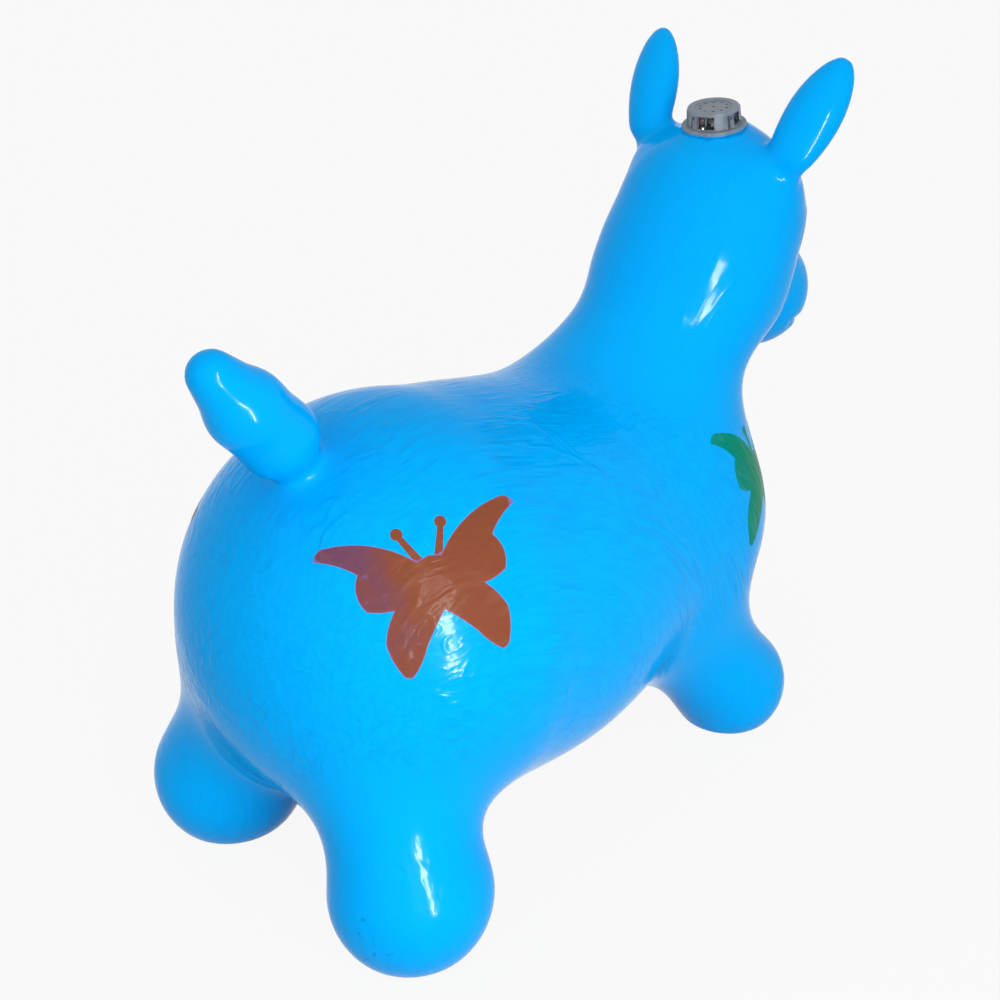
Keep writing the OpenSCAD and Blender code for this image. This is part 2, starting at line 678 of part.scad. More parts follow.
// Base of the module: a flanged cup with a ledge, screw bosses, and uprights with bayonet pins
module module_base() color("slategray") at_seat() {
    edge = 0.5;
    difference() {
        union() {
            rotate_extrude() polygon([
                [0, -base_depth],
                [base_r - edge, -base_depth],
                [base_r, -base_depth + edge],
                [base_r, lip_t],
                [flange_r - edge, lip_t],
                [flange_r, lip_t + edge],
                [flange_r, flange_top - edge],
                [flange_r - edge, flange_top],
                [mouth_r, flange_top],
                [mouth_r, tray_bottom],
                [ledge_r, tray_bottom],
                [ledge_r, tray_bottom - ledge_t],
                [base_in_r, tray_bottom - ledge_t - (base_in_r - ledge_r)],
                [base_in_r, base_floor],
                [0, base_floor]
            ]);
            ring_of(cells, 60 + cell_turn) {
                translate([tray_screw_ring_r, 0, tray_bottom - screw_len - 2]) {
                    cylinder(r = boss_r, h = screw_len + 2);
                    translate([0, -boss_r / 2, 0])
                        cube([base_r - base_wall / 2 - tray_screw_ring_r, boss_r, screw_len]);
                }
                translate([board_screw_ring_r, 0, base_floor - 0.5])
                    cylinder(r = boss_r, h = board_bottom - base_floor + 0.5);
            }
        }
        ring_of(cells, 60 + cell_turn) {
            translate([tray_screw_ring_r, 0, tray_bottom - screw_len - 1])
                cylinder(r = screw_r + fit_gap, h = screw_len + 2);
            translate([board_screw_ring_r, 0, board_bottom - screw_len - 0.5])
                cylinder(r = screw_r + fit_gap, h = screw_len + 1);
        }
    }
    ring_of(windows, lock_turn) {
        intersection() {
            rotate_extrude() translate([mouth_r, flange_top - 0.5])
                square([upright_r - mouth_r, bayonet_z + 2]);
            translate([0, -upright_w / 2, 0]) cube([cage_r, upright_w, cage_top]);
        }
        translate([upright_r - 0.4, 0, flange_top + bayonet_z]) rotate([0, 90, 0])
            cylinder(r = bayonet_pin_r, h = cage_r - upright_r - 0.1);
    }
}

// Wall radius of the cage at a height above its foot
function cage_wall_r(z) = cage_r + (cage_rim_r - cage_r) * z / cage_h;

module cage_cap() color("darkgray") at_seat() translate([0, 0, flange_top]) {
    grille_z = cage_h - grille_sink;
    track = 2 * bayonet_pin_r + 2 * run_gap;
    entry_w = track + 0.2;
    rim_mid = [cage_rim_r - rim_round, cage_h - rim_round];
    rim_arc = [for (a = [0:15:90]) rim_mid + rim_round * [cos(a), sin(a)]];
    difference() {
        union() {
            rotate_extrude() polygon(concat(
                [[cage_r - cage_wall, foot_gap], [cage_r, foot_gap]],
                rim_arc,
                [
                    [grille_r + 0.5, cage_h],
                    [grille_r, grille_z],
                    [0, grille_z],
                    [0, grille_z - cage_top_t],
                    [cage_wall_r(grille_z - cage_top_t) - cage_wall, grille_z - cage_top_t]
                ]
            ));
            ring_of(windows, window_turn + window_angle / 2 + rib_step)
                for (i = [0:ribs - 1])
                    rotate(i * rib_step) translate([cage_r - cage_wall / 2, -rib_w / 2, foot_gap])
                        rotate([0, -atan((cage_r - cage_rim_r) / cage_h), 0])
                            cube([cage_wall / 2 + rib_out, rib_w, cage_h - rim_round]);
        }
        ring_of(windows, window_turn - window_angle / 2) rotate_extrude(angle = window_angle)
            translate([cage_r - 3 * cage_wall, window_sill]) square([5 * cage_wall, window_h]);
        ring_of(windows, lock_turn - bayonet_turn) translate([cage_r - 3 * cage_wall, -entry_w / 2, 0])
            cube([5 * cage_wall, entry_w, bayonet_z + track / 2 + 1]);
        ring_of(windows, lock_turn - bayonet_turn) rotate_extrude(angle = bayonet_turn)
            translate([cage_r - 3 * cage_wall, bayonet_z - track / 2]) square([5 * cage_wall, track]);
        ring_of(windows, lock_turn) translate([cage_r - 3 * cage_wall, -track / 2, bayonet_z - track / 2])
            cube([5 * cage_wall, track, track + 1]);
        ring_of(sound_holes, 180 / sound_holes) translate([sound_ring_r, 0, 0])
            cylinder(r = sound_hole_r, h = cage_h);
        cylinder(r = sound_hole_r, h = cage_h);
    }
}

// Wire routes: straight up from the board, drawn in at the foot
speaker_wire_r = 13.2;
battery_wire_r = 13.9;
function wire_route(turn, r, top) = [
    polar(r - 1.4, turn, board_top),
    polar(r - 1.4, turn, board_top + 2),
    polar(r - 0.8, turn, board_top + 5),
    polar(r, turn, board_top + 9),
    polar(r, turn, tray_bottom - 1),
    polar(r, turn, top - 1),
    polar(r, turn, top)
];
speaker_wire_turns = [cell_turn + 26, cell_turn + 36];
upper_wire_turn = cell_turn;
lower_wire_turn = cell_turn + 240;

module battery_tray() color("dimgray") at_seat() {
    tray_r = mouth_r - run_gap;
    hole_r = wire_r + run_gap;
    rim_angle = 28;
    sunk = 0.4;
    difference() {
        union() {
            translate([0, 0, tray_bottom]) cylinder(r = tray_r, h = tray_t);
            ring_of(cells, cell_turn) translate([cell_ring_r, 0, tray_top - sunk])
                for (a = [0, 120, 240]) rotate(a + 60 - rim_angle / 2) rotate_extrude(angle = rim_angle)
                    translate([cell_r + cell_gap, 0]) square([cell_rim_t, cell_rim_h + sunk]);
            ring_of(cells, 60 + cell_turn) translate([post_ring_r, 0, tray_top - sunk])
                cylinder(r = post_r, h = post_h + sunk);
        }
        ring_of(cells, 60 + cell_turn) translate([tray_screw_ring_r, 0, tray_bottom - 1])
            cylinder(r = screw_r + fit_gap, h = tray_t + 2);
        for (a = speaker_wire_turns) translate(polar(speaker_wire_r, a, tray_bottom - 1))
            cylinder(r = hole_r, h = tray_t + 2);
        for (a = [upper_wire_turn, lower_wire_turn]) translate(polar(battery_wire_r, a, tray_bottom - 1))
            cylinder(r = hole_r, h = tray_t + 2);
    }
}

module button_cells() color("silver") at_seat() ring_of(cells, cell_turn)
    translate([cell_ring_r, 0, cell_bottom]) rotate_extrude() polygon([
        [0, 0],
        [cell_r - cell_edge, 0],
        [cell_r, cell_edge],
        [cell_r, cell_h - cell_cap_h - cell_edge],
        [cell_r - cell_edge, cell_h - cell_cap_h],
        [cell_cap_r, cell_h - cell_cap_h],
        [cell_cap_r - 0.2, cell_h],
        [0, cell_h]
    ]);

// A pad on each cell named, joined by a bar, with an optional tail to a wire
module strip(turns) {
    pad = function (t) [cell_ring_r * cos(t), cell_ring_r * sin(t)];
    beside = function (t, a) pad(t) + strip_w / 2 * [cos(t + a), sin(t + a)];
    linear_extrude(strip_t) {
        for (t = turns) translate(pad(t)) circle(r = strip_w);
        if (len(turns) > 1)
            polygon([
                beside(turns[0], -120), beside(turns[0], 60), beside(turns[1], -60), beside(turns[1], 120)
            ]);
    }
}

module strip_tail(turn) linear_extrude(strip_t) rotate(turn) translate([cell_ring_r, -strip_w / 4])
    square([battery_wire_r + wire_r - cell_ring_r, strip_w / 2]);

module lower_strip() color("gainsboro") at_seat() translate([0, 0, tray_top]) {
    strip([cell_turn, cell_turn + 120]);
    strip([lower_wire_turn]);
    strip_tail(lower_wire_turn);
}

module upper_strip() color("gainsboro") at_seat() translate([0, 0, cell_top]) {
    strip([cell_turn + 120, cell_turn + 240]);
    strip([upper_wire_turn]);
    strip_tail(upper_wire_turn);
}

module screw() {
    translate([0, 0, -screw_len]) cylinder(r = screw_r, h = screw_len + tiny);
    difference() {
        cylinder(r1 = screw_head_r, r2 = screw_head_r - 0.4, h = screw_head_h);
        for (a = [0, 90]) rotate(a) translate([-screw_head_r * 0.6, -0.2, screw_head_h / 2])
            cube([screw_head_r * 1.2, 0.4, screw_head_h]);
    }
}

module tray_screws() color("lightgray") at_seat() ring_of(cells, 60 + cell_turn)
    translate([tray_screw_ring_r, 0, tray_top]) screw();

module board_screws() color("lightgray") at_seat() ring_of(cells, 60 + cell_turn)
    translate([board_screw_ring_r, 0, board_top]) screw();

module circuit_board() color("seagreen") at_seat() difference() {
    translate([0, 0, board_bottom]) cylinder(r = board_r, h = board_t);
    ring_of(cells, 60 + cell_turn) translate([board_screw_ring_r, 0, board_bottom - 1])
        cylinder(r = screw_r + fit_gap, h = board_t + 2);
    translate([-board_r - 1, -1.5, board_bottom - 1]) cube([2.5, 3, board_t + 2]);
}

module sound_chip() color("black") at_seat() translate(polar(switch_ring_r, chip_turn, board_top)) {
    drop_r = (chip_r * chip_r + chip_h * chip_h) / (2 * chip_h);
    intersection() {
        translate([0, 0, chip_h - drop_r]) sphere(r = drop_r);
        cylinder(r = chip_r + 1, h = chip_h + 1);
    }
}

module shake_pin() color("gold") at_seat() translate(polar(switch_ring_r, switch_turn, board_top)) {
    cylinder(r = switch_pin_r, h = switch_pin_h - switch_pin_r);
    translate([0, 0, switch_pin_h - switch_pin_r]) sphere(r = switch_pin_r);
    cylinder(r = switch_pin_r * 2, h = 0.4);
}

// The coil stands on the board round the pin
module shake_spring() color("goldenrod") at_seat()
    translate(polar(switch_ring_r, switch_turn, board_top + coil_wire_r + coil_foot_gap))
        swept(
            [for (i = [0:8 * coil_turns]) polar(coil_r, 45 * i, coil_pitch * i / 8)],
            coil_wire_r, [0, 0, 1], 6
        );

module speaker_frame() color("dimgray") at_seat() translate([0, 0, frame_bottom]) difference() {
    cylinder(r = speaker_r, h = speaker_h);
    translate([0, 0, speaker_floor_t]) cylinder(r = speaker_r - speaker_wall, h = speaker_h);
    translate([0, 0, -1]) cylinder(r = magnet_r + fit_gap, h = speaker_h);
    ring_of(6, cell_turn) translate([(speaker_r + magnet_r) / 2, 0, -1]) cylinder(r = 1.2, h = speaker_h);
}

module speaker_magnet() color("silver") at_seat() translate([0, 0, magnet_bottom]) rotate_extrude() polygon([
    [0, 0],
    [magnet_r - 0.4, 0],
    [magnet_r, 0.4],
    [magnet_r, magnet_h],
    [pot_in_r, magnet_h],
    [pot_in_r, magnet_floor_t],
    [core_r, magnet_floor_t],
    [core_r, magnet_h],
    [0, magnet_h]
]);

module speaker_cone() color("darkslategray") at_seat() translate([0, 0, cone_bottom]) {
    rim = voice_coil_r + voice_coil_wall;
    under = [
        [cone_r, cone_rise],
        [(cone_r + rim) / 2, cone_rise * 0.8],
        [rim, 0],
        [rim / 2, cone_rise * 0.75],
        [0, cone_rise]
    ];
    over = [for (i = [len(under) - 1:-1:0]) under[i] + [0, cone_t]];
    rotate_extrude() polygon(concat(under, over));
}

module voice_coil() color("peru") at_seat() translate([0, 0, voice_coil_bottom]) difference() {
    cylinder(r = voice_coil_r + voice_coil_wall, h = voice_coil_h);
    translate([0, 0, -1]) cylinder(r = voice_coil_r, h = voice_coil_h + 2);
}

module speaker_wires() color("firebrick") at_seat()
    for (a = speaker_wire_turns) swept(wire_route(a, speaker_wire_r, frame_bottom), wire_r, [0.3, 1, 0]);

module battery_wires() color("firebrick") at_seat() {
    swept(wire_route(upper_wire_turn, battery_wire_r, cell_top), wire_r, [0.3, 1, 0]);
    swept(wire_route(lower_wire_turn, battery_wire_r, tray_top), wire_r, [0.3, 1, 0]);
}

skin();
head_socket();
valve_seat();
valve_plug();
module_base();
cage_cap();
battery_tray();
button_cells();
lower_strip();
upper_strip();
tray_screws();
circuit_board();
board_screws();
sound_chip();
shake_pin();
shake_spring();
speaker_frame();
speaker_magnet();
speaker_cone();
voice_coil();
speaker_wires();
battery_wires();
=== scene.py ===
"""Looks of an inflated donkey hopper: skin, prints, face, air valve and sound module, on a plain stage."""

import json
import math

import bpy
import numpy as np
from bpy.props import FloatProperty, FloatVectorProperty, PointerProperty
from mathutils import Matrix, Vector
from mathutils.geometry import delaunay_2d_cdt


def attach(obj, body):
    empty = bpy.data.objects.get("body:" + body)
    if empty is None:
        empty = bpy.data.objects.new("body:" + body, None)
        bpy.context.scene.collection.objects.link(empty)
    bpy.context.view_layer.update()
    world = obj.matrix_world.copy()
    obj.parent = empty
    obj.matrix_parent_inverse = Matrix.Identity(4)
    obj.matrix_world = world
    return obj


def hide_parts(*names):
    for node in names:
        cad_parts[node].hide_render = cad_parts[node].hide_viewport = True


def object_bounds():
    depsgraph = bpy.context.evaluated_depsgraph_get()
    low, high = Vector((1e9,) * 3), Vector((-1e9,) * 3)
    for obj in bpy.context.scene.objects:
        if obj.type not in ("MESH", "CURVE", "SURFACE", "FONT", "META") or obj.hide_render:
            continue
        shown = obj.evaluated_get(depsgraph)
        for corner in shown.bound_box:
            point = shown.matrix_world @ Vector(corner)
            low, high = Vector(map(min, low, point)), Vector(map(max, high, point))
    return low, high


bl_info = {
    "name": "Animal hopper",
    "version": (1, 0, 0),
    "blender": (4, 5, 0),
    "location": "View3D > Sidebar > Hopper",
    "description": "Dresses the packed hopper with its skin, prints, face and finishes",
    "category": "Add Mesh",
}

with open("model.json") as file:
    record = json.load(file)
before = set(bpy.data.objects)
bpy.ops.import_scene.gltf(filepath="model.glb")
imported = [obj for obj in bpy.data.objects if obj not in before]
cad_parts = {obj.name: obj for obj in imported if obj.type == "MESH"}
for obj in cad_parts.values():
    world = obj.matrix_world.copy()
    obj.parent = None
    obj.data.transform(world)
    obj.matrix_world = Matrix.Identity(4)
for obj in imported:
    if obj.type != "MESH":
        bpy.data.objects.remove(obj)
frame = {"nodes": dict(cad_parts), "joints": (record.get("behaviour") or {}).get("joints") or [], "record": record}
CAD_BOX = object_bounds()
JOINTS = {joint["name"]: joint for joint in frame["joints"]}
MM = 0.001


# Properties

def size(name, millimetres, description):
    """A length, given in millimetres and kept in metres."""
    return FloatProperty(
        name=name, description=description, default=millimetres * MM,
        subtype="DISTANCE", unit="LENGTH", precision=4
    )


def place(name, millimetres, description):
    """A point or an offset, given in millimetres and kept in metres."""
    return FloatVectorProperty(
        name=name, description=description, default=[v * MM for v in millimetres], size=3,
        subtype="TRANSLATION", unit="LENGTH", precision=4
    )


def turn(name, degrees, description):
    """An angle, given in degrees and kept in radians."""
    return FloatProperty(
        name=name, description=description, default=math.radians(degrees), subtype="ANGLE", unit="ROTATION"
    )


def share(name, value, description):
    """A plain number."""
    return FloatProperty(name=name, description=description, default=value)


def tint(name, red, green, blue, description):
    """A linear colour."""
    return FloatVectorProperty(
        name=name, description=description, default=(red, green, blue), size=3, subtype="COLOR", min=0, max=1
    )


class HopperTrunk(bpy.types.PropertyGroup):
    """Balls of the trunk and legs, and the fillets between them."""

    rump: place("Rump", (0, 141, 179), "Centre of the rump")
    rump_radius: size("Rump radius", 142, "Radius of the rump")
    barrel: place("Barrel", (0, 59, 166), "Centre of the barrel")
    barrel_radius: size("Barrel radius", 129, "Radius of the barrel")
    chest: place("Chest", (0, -75, 166), "Centre of the chest")
    chest_radius: size("Chest radius", 117, "Radius of the chest")
    hip: place("Hip", (61, 74, -37), "Hip from the rump's centre")
    hip_radius: size("Hip radius", 28, "Radius of the hip")
    hind_foot: place("Hind foot", (93, 218, 38), "Centre of a hind foot")
    hind_foot_radius: size("Hind foot radius", 53, "Radius of a hind foot")
    shoulder: place("Shoulder", (70, 7, -63), "Shoulder from the chest's centre")
    shoulder_radius: size("Shoulder radius", 39, "Radius of the shoulder")
    front_foot: place("Front foot", (84, -121, 29.5), "Centre of a front foot")
    front_foot_radius: size("Front foot radius", 44.5, "Radius of a front foot")
    long_fillet: size("Long fillet", 28, "Fillet along the trunk and the neck")
    leg_fillet: size("Leg fillet", 40, "Fillet between legs and trunk")
    sole_trim: size("Sole trim", 0.4, "Depth by which the soles press flat")
    sole_fillet: size("Sole fillet", 5, "Rounding of the soles' edges")


class HopperHead(bpy.types.PropertyGroup):
    """Balls of the neck, head and ears."""

    neck_root: place("Neck root", (0, 9, 64), "Neck's root from the chest's centre")
    neck_root_radius: size("Neck root radius", 48, "Radius at the neck's root")
    neck_length: size("Neck length", 139, "Length of the neck's axis")
    neck_rise: turn("Neck rise", 46, "Angle of the neck above the floor")
    neck_top_radius: size("Neck top radius", 59, "Radius at the neck's top")
    head: place("Head", (0, -24, 44), "Head's centre from the neck's top")
    head_radius: size("Head radius", 62.5, "Radius of the head")
    widen: share("Widening", 1.16, "How much wider than deep neck and head are")
    brow: place("Brow", (0, -18, 40), "Middle of the brow from the head's centre")
    crown: place("Crown", (44, -2.5, 26.5), "Side end of the crown from the head's centre")
    crown_radius: size("Crown radius", 23, "Radius of the brow and the crown")
    muzzle: place("Muzzle", (0, -5, -19.5), "Root of the muzzle from the head's centre")
    muzzle_radius: size("Muzzle radius", 42, "Radius at the muzzle's root")
    nose: place("Nose", (0, -51, -73), "Nose from the head's centre")
    nose_radius: size("Nose radius", 46.5, "Radius of the nose")
    head_fillet: size("Head fillet", 15, "Fillet between the head's forms")
    neck_fillet: size("Neck fillet", 60, "Fillet between neck and trunk")
    seat: place("Seat", (0, 2, 62), "Middle of the sound module's seat from the head's centre")
    seat_fillet: size("Seat fillet", 5, "Rounding of the module's flat seat")
    collar_radius: size("Collar radius", 23.3, "Radius of the skin's rise under the module's flange")
    collar_height: size("Collar height", 0.9, "Height of that rise over the seat")
    collar_depth: size("Collar depth", 8, "Depth under the seat at which that rise ends")
    collar_slope: turn("Collar slope", 55, "Angle at which that rise falls away")
    collar_fillet: size("Collar fillet", 4, "Fillet round that rise")
    socket_radius: size("Socket radius", 22.5, "Radius of the hole in the seat")
    socket_depth: size("Socket depth", 36, "Depth of the hole in the seat")
    nostril: place("Nostril", (19.5, -37, 20), "Middle of a nostril from the nose's centre")
    nostril_radius: size("Nostril radius", 6, "Radius of a nostril's dent")
    nostril_depth: size("Nostril depth", 4, "Depth of a nostril's dent")
    mouth_drop: size("Mouth drop", 24, "How far the mouth's line lies under the nose's centre")
    mouth_curl: size("Mouth curl", 4, "Rise of the mouth's line towards its corners")
    mouth_width: size("Mouth width", 3.2, "Half the width of the mouth's groove")
    mouth_depth: size("Mouth depth", 2.6, "Depth of the mouth's groove")


class HopperEars(bpy.types.PropertyGroup):
    """Place, lean and outline of the ears."""

    foot: place("Foot", (66, -4, 56), "Foot of an ear from the head's centre")
    length: size("Length", 62, "Length of an ear's axis")
    out: turn("Out", 15.5, "Lean of an ear to the side")
    forward: turn("Forward", 29, "Lean of an ear to the front")
    face: turn("Face", 88.5, "Way that an ear's flat face looks")
    flat: share("Flatness", 0.66, "Thickness of an ear over its width")
    foot_radius: size("Foot radius", 17, "Radius at an ear's foot")
    broad_radius: size("Broad radius", 20, "Radius where an ear is broadest")
    tip_radius: size("Tip radius", 9.5, "Radius at an ear's tip")
    broad: share("Broadest", 0.4, "Place of the broadest stretch as a share of the length")
    row_fillet: size("Row fillet", 3, "Fillet along an ear")
    fillet: size("Fillet", 8, "Fillet round an ear's foot")


class HopperTail(bpy.types.PropertyGroup):
    """Balls of the tail."""

    root_angle: turn("Root angle", 60.2, "Place of the tail's root on the rump")
    root_out: size("Root out", 27.8, "How far the root stands out of the rump")
    root_radius: size("Root radius", 25.5, "Radius of the root")
    rise: turn("Rise", 50, "Angle of the tail above the floor")
    length: size("Length", 31.5, "Length from root to bulb")
    bulb_radius: size("Bulb radius", 23.6, "Radius of the bulb")
    tip_rise: turn("Tip rise", 52.5, "Angle of the tip above the floor")
    tip_length: size("Tip length", 34.5, "Length from bulb to tip")
    tip_radius: size("Tip radius", 15, "Radius of the tip")
    fillet: size("Fillet", 6, "Fillet between the tail's balls")
    root_fillet: size("Root fillet", 18, "Fillet between tail and rump")


class HopperSkin(bpy.types.PropertyGroup):
    """Net and finish of the skin."""

    cell: size("Cell", 3.0, "Grid step of the skin's net")
    colour: tint("Skin", 0.0, 0.41, 0.97, "Blue of the skin")
    # The skin shade is a darker blue painted along the embossed strokes as their shade; it also tints the random
    # clouds.
    shade: tint("Skin shade", 0.0, 0.33, 0.86, "Blue in the strokes")
    scuff: tint("Scuff", 0.0, 0.22, 0.6, "Blue of the scuffs on a foot")
    gloss: share("Gloss", 0.03, "Specular level of the skin")
    stroke_gap: size("Stroke gap", 12, "Distance between embossed hair strokes")
    stroke_length: size("Stroke length", 75, "Length of an embossed hair stroke")
    stroke_depth: size("Stroke depth", 0.34, "Depth of an embossed hair stroke")
    valve_radius: size("Valve radius", 9.2, "Radius of the hole for the air valve")
    valve_depth: size("Valve depth", 18, "Depth of the hole for the air valve")
    valve_behind: size("Valve behind", 61, "Distance of the air valve behind the middle")


class HopperPrints(bpy.types.PropertyGroup):
    """Places and colours of the prints and the face."""

    right_hip_print: place("Right hip print", (-103.9, 197.6, 257.8), "Middle of the right hip's butterfly")
    right_hip_facing: place("Right hip facing", (-710, 442, 548), "Way that the right hip's butterfly looks")
    right_hip_up: place("Right hip up", (550, -138, 824), "Way up of the right hip's butterfly")
    left_hip_print: place("Left hip print", (128.3, 186.4, 220.2), "Middle of the left hip's butterfly")
    left_hip_facing: place("Left hip facing", (885, 365, 289), "Way that the left hip's butterfly looks")
    left_hip_up: place("Left hip up", (-279, -80, 957), "Way up of the left hip's butterfly")
    shoulder_print: place("Shoulder print", (101, -138, 209), "Middle of a shoulder's butterfly")
    shoulder_facing: place("Shoulder facing", (890, -380, 280), "Way that a shoulder's butterfly looks")
    shoulder_up: place("Shoulder up", (-200, -180, 960), "Way up of a shoulder's butterfly")
    eye: place("Eye", (62, -220, 363), "Middle of an eye")
    eye_facing: place("Eye facing", (830, -550, 60), "Way that an eye looks")
    eye_up: place("Eye up", (-40, -160, 980), "Way up of an eye")
    eye_width: size("Eye width", 25, "Width of an eye's white")
    eye_height: size("Eye height", 34, "Height of an eye's white")
    spacing: size("Spacing", 4, "Step of the net inside a print")
    lift: size("Lift", 0.12, "How far a print stands proud of the skin")
    film: size("Film", 0.3, "Thickness of a print's film")
    hip_colour: tint("Hip colour", 0.232, 0.066, 0.032, "Brown red of the hips' butterflies")
    hip_faded: tint("Hip faded", 0.16, 0.062, 0.108, "Worn tone of the hips' butterflies")
    hip_edge: tint("Hip edge", 0.3, 0.2, 0.62, "Lilac edge of the hips' butterflies")
    shoulder_colour: tint("Shoulder colour", 0.0, 0.24, 0.13, "Green of the shoulders' butterflies")
    shoulder_faded: tint("Shoulder faded", 0.0, 0.24, 0.2, "Worn tone of the shoulders' butterflies")
    shoulder_edge: tint("Shoulder edge", 0.0, 0.26, 0.34, "Edge of the shoulders' butterflies")
    eye_white: tint("Eye white", 0.82, 0.82, 0.8, "White of the eyes")
    pupil: tint("Pupil", 0.012, 0.012, 0.014, "Black of the eyes")
    gloss: share("Gloss", 0.015, "Specular level of the prints")


class HopperStage(bpy.types.PropertyGroup):
    """Camera, lamps and floor."""

    target: place("Target", (0, -4, 240), "Point that the camera looks at")
    azimuth: turn("Azimuth", 223.18, "Way round the object to the camera")
    elevation: turn("Elevation", 25.23, "Height of the camera over the floor")
    distance: size("Distance", 1135.55, "Distance from target to camera")
    focal: share("Focal length", 1611.95, "Focal length in pixels of a square frame 1000 pixels wide")
    shift_right: share("Shift right", 44.17, "Pixels by which the target lies right of the frame's middle")
    shift_down: share("Shift down", -51.74, "Pixels by which the target lies below the frame's middle")
    key: place("Key lamp", (-900, 470, 380), "Place of the softbox")
    key_size: size("Key size", 500, "Side of the softbox that lights the object")
    key_power: share("Key power", 5.9, "Power of the softbox that lights the object, in watts")
    gloss: place("Gloss strip", (-890, 390, 440), "Place of the strip that only the gloss shows")
    gloss_width: size("Gloss width", 60, "Width of the strip that only the gloss shows")
    gloss_height: size("Gloss height", 740, "Height of the strip that only the gloss shows")
    gloss_power: share("Gloss power", 40.0, "Power of the strip that only the gloss shows, in watts")
    dome_way: place("Dome way", (-250, 820, 510), "Way to the brightest side of the soft light all round")
    dome_bright: share("Dome bright", 0.9, "Strength of the soft light on its bright side")
    dome_dim: share("Dome dim", 0.36, "Strength of the soft light on its dim side")
    floor: tint("Floor", 0.4, 0.4, 0.4, "Floor, as it lights the object")
    floor_white: share("Floor white", 0.92, "How far the floor goes over to white where it is seen")


# Distances

def unit(vector):
    """The vector at length 1."""
    vector = np.asarray(vector, float)
    return vector / np.linalg.norm(vector)


def smooth_step(value, low, high):
    """0 below low, 1 above high, and 3 t^2 - 2 t^3 between."""
    t = np.clip((value - low) / (high - low), 0, 1)
    return t * t * (3 - 2 * t)


def joined(a, b, width):
    """The smaller distance, less (width - |a - b|)^2 / (4 width) where the two are that close: a fillet."""
    overlap = np.maximum(width - np.abs(a - b), 0) / width
    return np.minimum(a, b) - overlap * overlap * width / 4


def trimmed(a, b, width):
    """The larger distance, with a rounded edge: joined() turned inside out."""
    return -joined(-a, -b, width)


def limb(points, start, end):
    """Distance to two balls and the cone that touches both, each ball being (centre, radius)."""
    (a, radius_a), (b, radius_b) = start, end
    axis = b - a
    length2 = axis @ axis
    taper = radius_a - radius_b
    slant = length2 - taper * taper
    from_a = points - a
    y = from_a @ axis
    z = y - length2
    side = from_a * length2 - y[..., None] * axis
    x2 = (side * side).sum(-1)
    y2 = y * y * length2
    z2 = z * z * length2
    edge = np.sign(taper) * taper * taper * x2
    found = (np.sqrt(x2 * slant / length2) + y * taper) / length2 - radius_a
    found = np.where(np.sign(y) * slant * y2 < edge, np.sqrt(x2 + y2) / length2 - radius_a, found)
    return np.where(np.sign(z) * slant * z2 > edge, np.sqrt(x2 + z2) / length2 - radius_b, found)


def row(points, balls, width):
    """Distance to a row of balls, with a fillet between neighbouring limbs."""
    found = limb(points, balls[-2], balls[-1])
    for start, end in zip(balls[-3::-1], balls[-2:0:-1]):
        found = joined(limb(points, start, end), found, width)
    return found


# Balls along an ear, and the stretch behind and before the nose's middle where the mouth's groove begins.
EAR_STEPS = 11
MOUTH_FRONT = (-4 * MM, 6 * MM)


